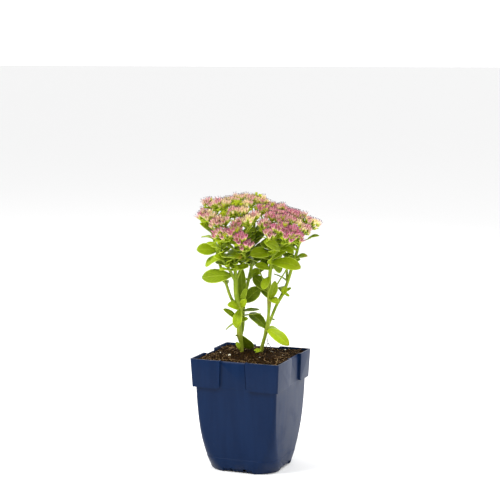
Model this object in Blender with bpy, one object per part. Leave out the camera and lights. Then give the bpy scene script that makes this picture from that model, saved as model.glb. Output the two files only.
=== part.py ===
"""Potted showy stonecrop: two leafy stems with flat flower heads in a square nursery pot.

The origin is the centre of the pot's base, +Z is up and the pot's sides face along X and Y.
Lengths are written in millimetres and turned into metres by MM.
"""

import math
import random

import bmesh
import bpy
from mathutils import Matrix, Vector
from mathutils.bvhtree import BVHTree
from mathutils.geometry import intersect_point_line

MM = 0.001
CLEARANCE = 0.3            # gap between pieces that touch
CUT_MARGIN = 3.0           # how far a cutter reaches past what it cuts

# The pot
POT_HEIGHT = 109.5
RIM_HALF = 45.0            # half the width across the rim
BAND_HEIGHT = 27.2
BAND_FOOT_HALF = 43.6      # half the width at the band's lower edge
BAND_CORNER = 1.8
BODY_TOP_HALF = 41.2
BODY_TOP_CORNER = 3.0
BODY_TAPER = 0.04          # how fast each side leans in
BODY_CURVE = 5.2e-6        # how fast that lean grows downwards
CORNER_GROWTH = 4.0e-5     # how fast the corners grow rounder downwards
BODY_LEVELS = (25.0, 40.0, 55.0, 70.0)
FOOT_CHAMFER = (0.9, 1.2)  # inwards and up
WALL = 1.4
FLOOR_BOTTOM = 4.8
FLOOR_TOP = 6.3
BASE_LINE_HEIGHT = 13.4    # the faint ledge round the body, above the feet
BASE_LINE_DEPTH = 0.3
BASE_LINE_RISE = 0.4
CORNER_STEPS = 4
BAND_BOTTOM = POT_HEIGHT - BAND_HEIGHT
SHOULDER_DROP = 0.6        # how far below the band the inside starts to widen

# The label panel in each side of the band
PANEL_TOP_WIDTH = 25.3
PANEL_FOOT_WIDTH = 28.0
PANEL_OFFSETS = (-1.5, 4.5, 0.0, 0.0)   # how far each side's panel lies off its middle
PANEL_DEPTH = 2.2
PANEL_DROP = 0.5           # how far a panel's foot reaches below the band
PAD_DROP = 3.0             # how far the wall behind it reaches
SCOOP_DEPTH = 3.9          # at the wall's outer face
SCOOP_INNER_DEPTH = 1.1    # at the wall's inner face
SCOOP_SECTIONS = ((-13.0, 0.75), (-11.4, 1.0), (11.4, 1.0), (13.0, 0.75))   # across, share of the depth

# The base: feet, the sunk skirts between them, the notches and the flat boss it stands on
SKIRT_WIDTH = 30.0
SKIRT_DEPTH = 1.3
SKIRT_HEIGHT = 3.8
SKIRT_LIFT = 1.3           # how far a skirt's lower edge stays above the feet
SKIRT_WALL = 1.8
NOTCHES = {"wide": (7.0, 3.8), "slit": (-7.0, 1.2)}   # place along the side and width
NOTCH_HEIGHT = 4.4
BOSS_RADIUS = 7.0
BOSS_SIDES = 24
DRAIN_RADIUS = 3.5
DRAIN_SIDES = 16
DRAIN_OFFSET = 17.0        # from the middle, towards each corner

# The soil
SOIL_EDGE = 106.4          # height of the soil at the pot's wall
SOIL_CROWN = 110.2         # height of the soil round the stems
SOIL_LUMP = 0.9
SOIL_RINGS = 8
SOIL_ROUND = 1.7           # how flat the mound's middle is
STEM_HOLE_DEPTH = 11.0
STEM_HOLE_SIDES = 12
STEM_HOLE_EASE = 0.5       # a hole's radius past its stem's

# The plant is laid out across, toward and up from a line that is turned from X by this much
LAYOUT_ANGLE = math.radians(22.0)
HEART = (5.0, 2.0, 165.0)  # the flowers lean away from this point

THICK_STEM = 1.75          # stems thicker than this get more sides
LEAF_THICKNESS = 1.5
LEAF_THINNING = 0.45       # how much of its thickness a leaf loses by its tip
LEAF_EDGE = 0.7
STEM_FOOT = 99.8           # the stems' cut ends, in their holes

CORE_RADIUS = 3.5          # a bunch's core, which its flowers stand out of
CORE_SINK = 2.5            # how far the core's middle lies below the bunch's
RAY_RADIUS = 0.7
HUB_RADIUS = 1.35          # the knot that a head's rays spring from
PETAL_LENGTH = 4.5
PETAL_SPREAD = 0.38        # how far a petal leans away from its flower's middle
PETAL_SHARES = (1.0, 0.8, 0.6, 0.45, 0.3, 0.2)
FLOWER_LIFT = 0.35         # how far the side flowers turn up along the bunch
HEART_RISE = 0.9           # of a flower's middle over its face of the core
MOST_DRAFTS = 12
WELDS = (1e-7, 1e-6)       # in metres
MERGE = 2e-6
SLIVER = 1.5e-5            # edges shorter than this are closed up


def place(across, toward, height):
    """A point of the plant's layout, in metres."""
    turned_x = across * math.cos(LAYOUT_ANGLE) + toward * math.sin(LAYOUT_ANGLE)
    turned_y = across * math.sin(LAYOUT_ANGLE) - toward * math.cos(LAYOUT_ANGLE)
    return Vector((turned_x, turned_y, height)) * MM


TOWARD = (place(0, 1, 0) - place(0, 0, 0)).normalized()


# Scene, materials and objects

def clear_scene():
    for old in list(bpy.data.objects):
        bpy.data.objects.remove(old, do_unlink=True)


def new_collection(name):
    collection = bpy.data.collections.new(name)
    bpy.context.scene.collection.children.link(collection)
    return collection


def make_material(name, color, roughness, metallic=0.0):
    material = bpy.data.materials.new(name)
    material.use_nodes = True
    shader = material.node_tree.nodes["Principled BSDF"]
    shader.inputs["Base Color"].default_value = (*color, 1.0)
    shader.inputs["Roughness"].default_value = roughness
    shader.inputs["Metallic"].default_value = metallic
    material.diffuse_color = (*color, 1.0)
    return material


def object_from_bmesh(name, mesh_data, collection):
    mesh = bpy.data.meshes.new(name)
    mesh_data.to_mesh(mesh)
    mesh_data.free()
    made = bpy.data.objects.new(name, mesh)
    collection.objects.link(made)
    return made


def as_cutter(cutter):
    cutter.hide_render = True
    cutter.display_type = "WIRE"
    return cutter


def evaluated_mesh(source):
    bpy.context.view_layer.update()
    graph = bpy.context.evaluated_depsgraph_get()
    return bpy.data.meshes.new_from_object(source.evaluated_get(graph))


def bake(target):
    """Put the result of the object's modifiers in its mesh."""
    mesh = evaluated_mesh(target)
    target.modifiers.clear()
    target.data = mesh


def boolean(target, cutter, operation="DIFFERENCE"):
    modifier = target.modifiers.new(operation.title(), "BOOLEAN")
    modifier.operation = operation
    modifier.object = cutter
    return modifier


# Square sections with round corners

def rounded_square(half, radius, height):
    """Corner points of one level section, counter-clockwise, in metres."""
    points = []
    straight = half - radius
    for corner in range(4):
        center_x = straight if corner in (0, 3) else -straight
        center_y = straight if corner in (0, 1) else -straight
        for step in range(CORNER_STEPS + 1):
            angle = (corner + step / CORNER_STEPS) * math.pi / 2
            x = center_x + radius * math.cos(angle)
            y = center_y + radius * math.sin(angle)
            points.append(Vector((x, y, height)) * MM)
    return points


def loft(name, rings, collection):
    """A closed solid through rings of points, lowest first."""
    mesh_data = bmesh.new()
    loops = [[mesh_data.verts.new(point) for point in ring] for ring in rings]
    count = len(rings[0])
    for low, high in zip(loops, loops[1:]):
        for index in range(count):
            after = (index + 1) % count
            mesh_data.faces.new((low[index], low[after], high[after], high[index]))
    mesh_data.faces.new(list(reversed(loops[0])))
    mesh_data.faces.new(loops[-1])
    return object_from_bmesh(name, mesh_data, collection)


def body_half(height):
    """Half the body's width at a height: it narrows slowly, then faster."""
    below = BAND_BOTTOM - height
    return BODY_TOP_HALF - BODY_TAPER * below - BODY_CURVE * below ** 3


def body_corner(height):
    """Radius of the body's corners at a height: they grow rounder downwards."""
    below = BAND_BOTTOM - height
    return BODY_TOP_CORNER + CORNER_GROWTH * below ** 3


def body_section(height, inset=0.0):
    return rounded_square(body_half(height) - inset, max(body_corner(height) - inset, 1.0), height)


def band_half(height):
    share = (height - BAND_BOTTOM) / BAND_HEIGHT
    return BAND_FOOT_HALF + (RIM_HALF - BAND_FOOT_HALF) * share


def band_section(height, inset=0.0):
    return rounded_square(band_half(height) - inset, BAND_CORNER, height)


def side_box(name, across_low, across_high, depth_from, depth_to, low, high, side, collection):
    """A box on one side of the pot: across the side, in from the side's middle plane, and up."""
    bpy.ops.mesh.primitive_cube_add(size=1)
    box = bpy.context.active_object
    box.name = name
    box.scale = Vector((across_high - across_low, depth_to - depth_from, high - low)) * MM
    center = Vector(((across_low + across_high) / 2, -(depth_from + depth_to) / 2, (low + high) / 2))
    turn = Matrix.Rotation(side * math.pi / 2, 4, "Z")
    box.matrix_world = turn @ Matrix.Translation(center * MM) @ Matrix.Diagonal(box.scale.to_4d())
    move_to(box, collection)
    return box


def move_to(piece, collection):
    for owner in list(piece.users_collection):
        owner.objects.unlink(piece)
    collection.objects.link(piece)


def panel_wedge(name, depth, widen, top, side, collection):
    """A block as deep as a label panel, whose sides flare downwards."""
    outer = RIM_HALF + CUT_MARGIN
    mesh_data = bmesh.new()
    bmesh.ops.create_cube(mesh_data, size=1)
    foot = BAND_BOTTOM - (PAD_DROP if widen else PANEL_DROP)
    for vertex in mesh_data.verts:
        at_top = vertex.co.z > 0
        at_front = vertex.co.y < 0
        width = (PANEL_TOP_WIDTH if at_top else PANEL_FOOT_WIDTH) / 2 + widen
        height = top if at_top else foot
        face = band_half(min(height, POT_HEIGHT)) - depth
        vertex.co.x = (math.copysign(width, vertex.co.x) + PANEL_OFFSETS[side]) * MM
        vertex.co.y = -(outer if at_front else face) * MM
        vertex.co.z = height * MM
    bmesh.ops.rotate(mesh_data, verts=mesh_data.verts, cent=(0, 0, 0),
                     matrix=Matrix.Rotation(side * math.pi / 2, 3, "Z"))
    return object_from_bmesh(name, mesh_data, collection)


def cavity(name, inset, top, collection, cutters):
    """The pot's inner space, smaller all round by inset, up to a height."""
    levels = [FLOOR_TOP + inset, BASE_LINE_HEIGHT, *BODY_LEVELS, BAND_BOTTOM - SHOULDER_DROP]
    rings = [body_section(level, WALL + inset) for level in levels]
    rings.append(band_section(BAND_BOTTOM + WALL + inset, WALL + inset))
    rings.append(band_section(top, WALL + inset))
    space = loft(name, rings, collection)
    for side in range(4):
        pad = panel_wedge(f"{name}_pad_{side}", PANEL_DEPTH + WALL + inset, WALL + inset,
                          top + CUT_MARGIN, side, cutters)
        boolean(space, as_cutter(pad))
    return space


# The pot

def build_pot(collection, cutters, material):
    chamfer_in, chamfer_up = FOOT_CHAMFER
    proud = (chamfer_up, BASE_LINE_HEIGHT - BASE_LINE_RISE)
    rings = [body_section(0.0, chamfer_in - BASE_LINE_DEPTH)]
    rings += [body_section(level, -BASE_LINE_DEPTH) for level in proud]
    rings += [body_section(level) for level in (BASE_LINE_HEIGHT, *BODY_LEVELS, BAND_BOTTOM)]
    rings += [band_section(BAND_BOTTOM), band_section(POT_HEIGHT)]
    pot = loft("pot", rings, collection)

    inside = cavity("pot_inside", 0.0, POT_HEIGHT + CUT_MARGIN, cutters, cutters)
    bake(inside)
    boolean(pot, as_cutter(inside))

    for side in range(4):
        boolean(pot, as_cutter(panel_wedge(f"panel_{side}", PANEL_DEPTH, 0.0, POT_HEIGHT + CUT_MARGIN,
                                           side, cutters)))
        boolean(pot, as_cutter(scoop(side, cutters)))

    boolean(pot, as_cutter(under_floor(cutters)))
    edge = body_half(0.0)
    for side in range(4):
        skirt = side_box(f"skirt_{side}", -SKIRT_WIDTH / 2, SKIRT_WIDTH / 2, edge - SKIRT_DEPTH,
                         edge + CUT_MARGIN, -CUT_MARGIN, SKIRT_HEIGHT, side, cutters)
        boolean(pot, as_cutter(skirt))
        lift = side_box(f"skirt_lift_{side}", -SKIRT_WIDTH / 2, SKIRT_WIDTH / 2,
                        edge - SKIRT_DEPTH - SKIRT_WALL - CUT_MARGIN, edge - SKIRT_DEPTH + CUT_MARGIN / 2,
                        -CUT_MARGIN, SKIRT_LIFT, side, cutters)
        boolean(pot, as_cutter(lift))
        for notch_name, (offset, width) in NOTCHES.items():
            notch = side_box(f"{notch_name}_{side}", offset - width / 2, offset + width / 2,
                             edge - 2 * CUT_MARGIN, edge + 2 * CUT_MARGIN, -2 * CUT_MARGIN,
                             NOTCH_HEIGHT, side, cutters)
            boolean(pot, as_cutter(notch))
    for index in range(4):
        boolean(pot, as_cutter(drain_hole(index, cutters)))
    bake(pot)
    pot.data.materials.append(material)
    return pot


def scoop(side, cutters):
    """A wedge that dips into the rim over a label panel, deepest at the wall's outer face."""
    outer = PANEL_DEPTH - RIM_HALF
    turn = Matrix.Rotation(side * math.pi / 2, 4, "Z")
    rings = []
    for across, share in SCOOP_SECTIONS:
        low = POT_HEIGHT - SCOOP_DEPTH * share
        high = POT_HEIGHT - SCOOP_INNER_DEPTH * share
        past = (high - low) * CLEARANCE / WALL
        corners = (
            (outer - CLEARANCE, low - past), (outer + WALL + CLEARANCE, high + past),
            (outer + WALL + CLEARANCE, POT_HEIGHT + CUT_MARGIN), (outer - CLEARANCE, POT_HEIGHT + CUT_MARGIN),
        )
        x = across + PANEL_OFFSETS[side]
        rings.append([turn @ Vector((x, y, z)) * MM for y, z in corners])
    return loft(f"scoop_{side}", rings, cutters)


def under_floor(cutters):
    """The hollow under the floor, with a flat boss left standing in its middle."""
    inset = SKIRT_DEPTH + SKIRT_WALL
    rings = [body_section(0.0, inset), body_section(FLOOR_BOTTOM, inset)]
    for point in rings[0]:
        point.z = -CUT_MARGIN * MM
    hollow = loft("under_floor", rings, cutters)
    bpy.ops.mesh.primitive_cylinder_add(vertices=BOSS_SIDES, radius=BOSS_RADIUS * MM,
                                        depth=4 * FLOOR_BOTTOM * MM)
    boss = bpy.context.active_object
    boss.name = "boss"
    move_to(boss, cutters)
    boolean(hollow, as_cutter(boss))
    bake(hollow)
    return hollow


def drain_hole(index, cutters):
    reach = DRAIN_OFFSET * math.sqrt(0.5)
    turn = Matrix.Rotation(index * math.pi / 2, 3, "Z")
    bpy.ops.mesh.primitive_cylinder_add(vertices=DRAIN_SIDES, radius=DRAIN_RADIUS * MM,
                                        depth=2 * CUT_MARGIN * MM)
    hole = bpy.context.active_object
    hole.name = f"drain_{index}"
    hole.location = turn @ Vector((reach, reach, FLOOR_TOP)) * MM
    move_to(hole, cutters)
    return hole


# The soil

def soil_height(share, lump):
    """Height of the soil at a share of the way from the middle to the wall."""
    mound = (SOIL_CROWN - SOIL_EDGE) * (1 - share ** SOIL_ROUND)
    return SOIL_EDGE + mound + lump * (share - share ** 6)


def build_soil(collection, cutters, material, stem_feet):
    draw = random.Random(11)
    inset = WALL + CLEARANCE
    levels = [FLOOR_TOP + CLEARANCE, *BODY_LEVELS, BAND_BOTTOM - SHOULDER_DROP]
    rings = [body_section(level, inset) for level in levels]
    rings.append(band_section(BAND_BOTTOM + inset, inset))
    edge = band_section(SOIL_EDGE, inset)
    rings.append(edge)
    for ring in range(1, SOIL_RINGS):
        share = 1 - ring / SOIL_RINGS
        level = []
        for point in edge:
            lump = draw.uniform(-SOIL_LUMP, SOIL_LUMP)
            flat = Vector((point.x, point.y, 0))
            round_off = 1 + (band_half(SOIL_EDGE) * MM / flat.length - 1) * (1 - share)
            flat *= share * round_off
            level.append(Vector((flat.x, flat.y, soil_height(share, lump) * MM)))
        rings.append(level)
    soil = loft("soil", rings, collection)
    for side in range(4):
        pad = panel_wedge(f"soil_pad_{side}", PANEL_DEPTH + inset, inset, POT_HEIGHT + CUT_MARGIN,
                          side, cutters)
        boolean(soil, as_cutter(pad))
    for foot in stem_feet:
        across, toward, _, radius = foot
        bpy.ops.mesh.primitive_cylinder_add(vertices=STEM_HOLE_SIDES, depth=2 * STEM_HOLE_DEPTH * MM,
                                            radius=(radius + STEM_HOLE_EASE) * MM)
        hole = bpy.context.active_object
        hole.name = "stem_hole"
        hole.location = place(across, toward, STEM_FOOT - CLEARANCE + STEM_HOLE_DEPTH)
        move_to(hole, cutters)
        boolean(soil, as_cutter(hole))
    bake(soil)
    soil.data.materials.append(material)
    return soil


# Stems and leaves

LEFT_STEMS = {
    "main": [(-9.2, -6, STEM_FOOT, 1.9), (-9.2, -6, 111.5, 1.9), (-9.8, -4.5, 119, 2.0),
             (-11.4, -2, 127, 2.9), (-11.4, 0, 140, 2.4), (-10.6, 1, 150, 2.5), (-10.4, 2, 156, 2.8)],
    "outer": [(-10.6, 2, 151, 1.7), (-19, 1, 163, 1.5), (-24, 0, 177, 1.4), (-29.5, 0, 194, 1.4),
              (-33, 1, 210, 1.7), (-36.5, 0, 224, 1.4), (-39.5, 0, 235, 1.3)],
    "front": [(-10.4, 2, 153, 2.4), (-14, 7, 165, 2.3), (-15, 9, 184, 2.3)],
    "front_left": [(-15, 9, 181, 1.6), (-22, 12, 195, 1.4), (-28, 13, 206, 1.7), (-30, 18, 220, 1.3)],
    "front_middle": [(-15, 9, 181, 1.8), (-15.5, 10, 198, 1.6), (-15.5, 14, 212, 1.4), (-13, 21, 220, 1.3)],
    "front_right": [(-15, 9, 182, 1.5), (-10, 5, 193, 1.4), (-6.5, 1, 203, 1.5), (-9, -3, 221, 1.3),
                    (-10, -6, 238, 1.3)],
    "back": [(-10.4, -3, 125, 1.6), (-8.2, -4, 134, 1.5), (-7.8, -4.5, 148, 1.6), (-6.5, -8, 162, 1.7),
             (-3, -14, 178, 1.6), (0, -17, 191, 1.6),
             (2, -18, 214, 1.5), (3, -19, 238, 1.3)],
}

RIGHT_STEMS = {
    "main": [(9.4, -6, STEM_FOOT, 2.0), (9.7, -6, 111.5, 1.9), (13, -4, 125, 1.8), (15, -2, 134, 2.4)],
    "inner": [(15, -2, 132, 2.1), (16.7, 1, 149, 1.5), (17.2, 2, 162, 2.2), (17.4, 3, 182, 1.7),
              (19, 4, 198, 1.9), (20.5, 5, 207, 2.2)],
    "inner_shoot_left": [(17.2, 2, 166, 0.9), (11.3, 0, 181, 0.7), (7.8, -2.5, 190, 0.7)],
    "inner_shoot_right": [(17.2, 2, 163, 0.9), (25.4, 0, 178, 0.7), (33, -2, 190, 0.7), (36, -2, 196, 0.7)],
    "inner_front": [(20.5, 5, 205, 1.6), (20.5, 8, 216, 1.4), (18, 13, 225, 1.3)],
    "inner_right": [(20.5, 5, 205, 1.6), (27.5, 9, 214, 1.4), (33, 15, 220, 1.3)],
    "outer": [(15, -2, 134, 1.8), (18.6, -4, 142, 1.5), (24, -6, 155, 1.5), (30.5, -8, 167, 1.9),
              (35, -8, 178, 1.5), (38.5, -8, 190, 1.6), (42, -8, 201, 1.6), (45, -8, 212, 1.4),
              (46.5, -7, 222, 1.3)],
    "outer_back": [(34.6, -8, 178, 1.3), (34.2, -10, 190, 1.2), (33, -12, 204, 1.2), (29, -16, 222, 1.3),
                   (27, -18, 234, 1.3)],
}

# Each leaf: base, tip, width, turn of its face from up towards the front, arch, cup
LEFT_LEAVES = [
    ((-18.6, 10.6, 187.2), (-47, 15, 185.6), 15, 58, 0.06, 0.10),
    ((-33, 1, 210), (-52, 9, 211.5), 13.5, 56, 0.08, 0.14),
    ((-28, 13, 205), (-44, 7, 196), 12, 38, 0.10, 0.16),
    ((-36, 0, 221), (-48, -6, 222), 9, 0, 0.10, 0.20),
    ((-28, 13, 205), (-9, 24, 206), 10.5, 24, 0.10, 0.22),
    ((-1.6, -15.2, 183), (9, -9, 189), 9, 70, 0.10, 0.20),
    ((-6.5, 1, 203), (5, -11, 194), 12, 24, 0.14, 0.20),
    ((-6.8, -6.5, 158.5), (8.6, -2, 173), 14, 76, 0.06, 0.12),
    ((-10.4, 2, 156), (-5, 9, 175), 5.5, 130, 0.06, 0.15),
    ((-12, 4, 152.5), (-23, 11, 159), 10, 52, 0.22, 0.20),
    ((-11, 3, 154), (-14.2, 10, 136), 10, 8, 0.10, 0.16),
    ((-12, 1, 141.5), (-27, 5, 154), 7, 50, 0.06, 0.20),
    ((-11.4, 0, 142), (-25, -4, 132), 7, 12, 0.04, 0.15),
    ((-10.8, 0, 151), (8, -4, 152), 7.5, 14, 0.0, 0.20),
    ((-11.2, 0, 141), (-3, 3, 144.5), 5, 62, 0.06, 0.20),
    ((-9.8, -3.8, 126.4), (1.2, -9, 112), 13, 142, 0.04, 0.10),
    ((-10.4, 0, 151), (-16, -21, 158), 13, -10, 0.12, 0.16),
    ((-24, 0, 177), (-32, -19, 178), 13, -14, 0.12, 0.16),
    ((-33, 1, 210), (-42, -15, 213), 13, -16, 0.12, 0.16),
    ((-3, -14, 178), (-13, -32, 178), 14, -20, 0.12, 0.16),
    ((-3, -14, 178), (9, -27, 183), 13, -20, 0.12, 0.16),
    ((0, -17, 191), (13, -33, 196), 13, -18, 0.12, 0.16),
    ((0, -17, 192), (-16, -25, 197), 13, -12, 0.12, 0.16),
    ((1, -17.5, 203), (11, -4, 211), 13, 34, 0.12, 0.16),
    ((1, -17.5, 203), (-14, -13, 209), 12, 30, 0.12, 0.16),
    ((2, -18, 214), (-8, -30, 222), 12, -16, 0.12, 0.16),
    ((2, -18, 215), (13, -19, 226), 12, 40, 0.10, 0.16),
    ((-8, -1, 212), (-19, -10, 217), 11, 8, 0.12, 0.16),
    ((-9, -3, 221), (1, 4, 226), 10, 46, 0.10, 0.16),
    ((-15.5, 14, 212), (-7, 24, 214), 8, 30, 0.10, 0.16),
    ((-29, 16, 213), (-38, 24, 217), 8, 30, 0.12, 0.16),
    ((-36.8, 0, 225), (-49, 8, 237), 6.5, 50, 0.08, 0.16),
    ((-37.2, 0, 227), (-49, -9, 239), 6.5, 20, 0.08, 0.16),
    ((-22, 12, 195), (-22, 24, 199), 6, 30, 0.10, 0.16),
    ((-11, 3, 155), (-5, 9, 164), 7, 112, 0.08, 0.20),
    ((-7.7, -4.7, 149), (-9.5, -8, 193), 9, 40, 0.03, 0.20),
    ((2, -18, 222), (-8, -9, 233), 12, 44, 0.10, 0.16),
    ((2, -18, 222), (11, -8, 233), 12, 44, 0.10, 0.16),
    ((-9, -3, 214), (3, 4, 215), 12, 44, 0.10, 0.16),
    ((-15.5, 14, 212), (-23, 24, 217), 8, 34, 0.10, 0.16),
]

RIGHT_LEAVES = [
    ((20, 4.5, 208), (-1, 20, 208), 13.5, 42, 0.08, 0.14),
    ((24, 7, 211), (11.5, 20, 221), 14, 46, 0.12, 0.26),
    ((19, 4, 199), (47, 15, 195), 14, 44, 0.10, 0.14),
    ((19, 4, 198), (29.5, -2, 190.5), 13, 68, 0.10, 0.18),
    ((8.2, -2.2, 188.5), (14.5, -6, 203), 9, 72, 0.08, 0.18),
    ((17.2, 2, 170), (2, -8, 184), 11, 56, 0.08, 0.18),
    ((17.5, 2, 162), (22.5, 11, 182), 9, 168, 0.05, 0.34),
    ((17.3, 4, 185), (11, 10, 173.5), 8.5, 24, 0.12, 0.16),
    ((17, 1, 163), (8.5, -6, 175), 6.5, 44, 0.06, 0.20),
    ((15, -2, 133), (-2, -12, 147), 12, 34, 0.10, 0.18),
    ((15, -2, 133), (36, 14, 120), 12, 44, 0.12, 0.18),
    ((15, -2, 133), (28, -14, 129), 9, 20, 0.10, 0.18),
    ((31, -7, 165.5), (32.5, -1, 175), 6, 160, 0.05, 0.25),
    ((31, -8, 168.5), (38.5, -6, 172.8), 3.6, 60, 0.0, 0.10),
    ((31, -8, 168), (37, -9, 164), 3.2, 70, 0.0, 0.10),
    ((46, -7, 217), (65, -1, 224), 7, 26, 0.12, 0.14),
    ((42, -8, 201), (54, -3, 204), 8, 30, 0.10, 0.20),
    ((35, -8, 179), (21.5, -12, 185.5), 4, -6, 0.06, 0.16),
    ((17.5, 2, 162), (20.5, -18, 168), 11, -14, 0.12, 0.16),
    ((17.5, 2, 162), (26, 8, 160), 8, 34, 0.22, 0.20),
    ((20.5, 5, 206), (15, -13, 214), 12, -12, 0.12, 0.16),
    ((38.5, -8, 190), (41, -26, 193), 12, -16, 0.12, 0.16),
    ((31, -8, 167), (31.5, -26, 171), 10, -14, 0.12, 0.16),
    ((45, -8, 211), (45, -24, 222), 10, -10, 0.12, 0.16),
    ((15, -2, 133), (9, -21, 132), 12, -10, 0.12, 0.16),
    ((31, -14, 214), (41, -26, 220), 10, -10, 0.12, 0.16),
    ((27, 8.5, 213), (40, 19, 210), 8, 24, 0.10, 0.20),
    ((20.5, 7, 212), (9, 6, 219), 11, 46, 0.10, 0.16),
    ((20.5, 7, 212), (30, -6, 218), 10, 10, 0.10, 0.16),
]

# Sections of a leaf: share of its length, and half its width there as a share of the widest
LEAF_SECTIONS = [(0.0, 0.18), (0.22, 0.68), (0.52, 1.0), (0.82, 0.74), (1.0, 0.16)]
SMALL_LEAF_SECTIONS = [(0.0, 0.22), (0.30, 0.85), (0.72, 0.90), (1.0, 0.16)]
SMALL_LEAF = 9.5


def tube(name, route, collection):
    """A tapering round stem through points that are (across, toward, height, radius)."""
    thickest = max(point[3] for point in route)
    curve = bpy.data.curves.new(name, "CURVE")
    curve.dimensions = "3D"
    curve.bevel_depth = MM
    curve.bevel_resolution = 2 if thickest > THICK_STEM else 1
    curve.use_fill_caps = True
    spline = curve.splines.new("POLY")
    spline.points.add(len(route) - 1)
    for point, (across, toward, height, radius) in zip(spline.points, route):
        point.co = (*place(across, toward, height), 1.0)
        point.radius = radius
    drawn = bpy.data.objects.new(name, curve)
    collection.objects.link(drawn)
    mesh = evaluated_mesh(drawn)
    bpy.data.objects.remove(drawn, do_unlink=True)
    mesh_data = bmesh.new()
    mesh_data.from_mesh(mesh)
    bmesh.ops.remove_doubles(mesh_data, verts=mesh_data.verts, dist=MERGE)
    bmesh.ops.recalc_face_normals(mesh_data, faces=mesh_data.faces)
    return object_from_bmesh(name, mesh_data, collection)


def leaf(name, base, tip, width, face_turn, arch, cup, collection):
    """A fleshy ovate leaf with a blunt tip, hollowed along its middle and arched along its length."""
    start = place(*base)
    along = place(*tip) - start
    axis = along.normalized()
    upright = Vector((0, 0, 1)) - axis * axis.z
    upright.normalize()
    sideways = axis.cross(upright)
    if sideways.dot(TOWARD) < 0:
        sideways = -sideways
    turn = math.radians(face_turn)
    normal = upright * math.cos(turn) + sideways * math.sin(turn)
    across = axis.cross(normal)
    mesh_data = bmesh.new()
    sections = []
    for share, spread in (SMALL_LEAF_SECTIONS if width < SMALL_LEAF else LEAF_SECTIONS):
        half = width / 2 * spread * MM
        bend = normal * (along.length * arch * 4 * share * (1 - share))
        middle = start + along * share + bend
        lift = normal * (cup * half)
        edge = normal * (LEAF_EDGE / 2 * MM)
        body = normal * (LEAF_THICKNESS * (1 - LEAF_THINNING * share) / 2 * MM)
        ring = [
            middle - across * half + lift + edge, middle - across * half + lift - edge, middle - body,
            middle + across * half + lift - edge, middle + across * half + lift + edge, middle + body,
        ]
        sections.append([mesh_data.verts.new(point) for point in ring])
    for low, high in zip(sections, sections[1:]):
        for index in range(6):
            after = (index + 1) % 6
            corners = (low[index], low[after], high[after], high[index])
            add_split_quad(mesh_data, corners, index in (0, 2, 4))
    for ring in (sections[0], list(reversed(sections[-1]))):
        mesh_data.faces.new((ring[0], ring[5], ring[2], ring[1]))
        mesh_data.faces.new((ring[2], ring[5], ring[4], ring[3]))
    bmesh.ops.recalc_face_normals(mesh_data, faces=mesh_data.faces)
    return object_from_bmesh(name, mesh_data, collection)


def add_split_quad(mesh_data, corners, first_way):
    first, second, third, fourth = corners
    if first_way:
        mesh_data.faces.new((first, second, third))
        mesh_data.faces.new((first, third, fourth))
    else:
        mesh_data.faces.new((first, second, fourth))
        mesh_data.faces.new((second, third, fourth))


def fuse(name, pieces, collection, material):
    """Join overlapping solids in one closed body and drop what hangs loose or is sealed inside."""
    repeats = new_collection(f"{name}_pieces")
    for piece in pieces[1:]:
        move_to(piece, repeats)
    whole = pieces[0]
    whole.name = name
    move_to(whole, collection)
    modifier = whole.modifiers.new("Fuse", "BOOLEAN")
    modifier.operation = "UNION"
    modifier.operand_type = "COLLECTION"
    modifier.collection = repeats
    modifier.solver = "MANIFOLD"
    bake(whole)
    for piece in list(repeats.objects):
        bpy.data.objects.remove(piece, do_unlink=True)
    bpy.data.collections.remove(repeats)
    keep_largest(whole)
    whole.data.materials.clear()
    whole.data.materials.append(material)
    return whole


def keep_largest(piece):
    mesh_data = bmesh.new()
    mesh_data.from_mesh(piece.data)
    bmesh.ops.remove_doubles(mesh_data, verts=mesh_data.verts, dist=MERGE)
    bmesh.ops.dissolve_degenerate(mesh_data, dist=SLIVER, edges=mesh_data.edges)
    bmesh.ops.triangulate(mesh_data, faces=mesh_data.faces)
    unseen = set(mesh_data.verts)
    islands = []
    while unseen:
        queue = [unseen.pop()]
        island = list(queue)
        while queue:
            vertex = queue.pop()
            for edge in vertex.link_edges:
                other = edge.other_vert(vertex)
                if other in unseen:
                    unseen.remove(other)
                    island.append(other)
                    queue.append(other)
        islands.append(island)
    islands.sort(key=len)
    for island in islands[:-1]:
        bmesh.ops.delete(mesh_data, geom=island, context="VERTS")
    mesh_data.to_mesh(piece.data)
    mesh_data.free()


def build_leafy_stem(name, stems, leaves, collection, material):
    pieces = [tube(f"{name}_{part}", route, collection) for part, route in stems.items()]
    for index, (base, tip, width, face_turn, arch, cup) in enumerate(leaves):
        pieces.append(leaf(f"{name}_leaf_{index}", base, tip, width, face_turn, arch, cup, collection))
    return fuse(name, pieces, collection, material)


# Flower heads

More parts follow.
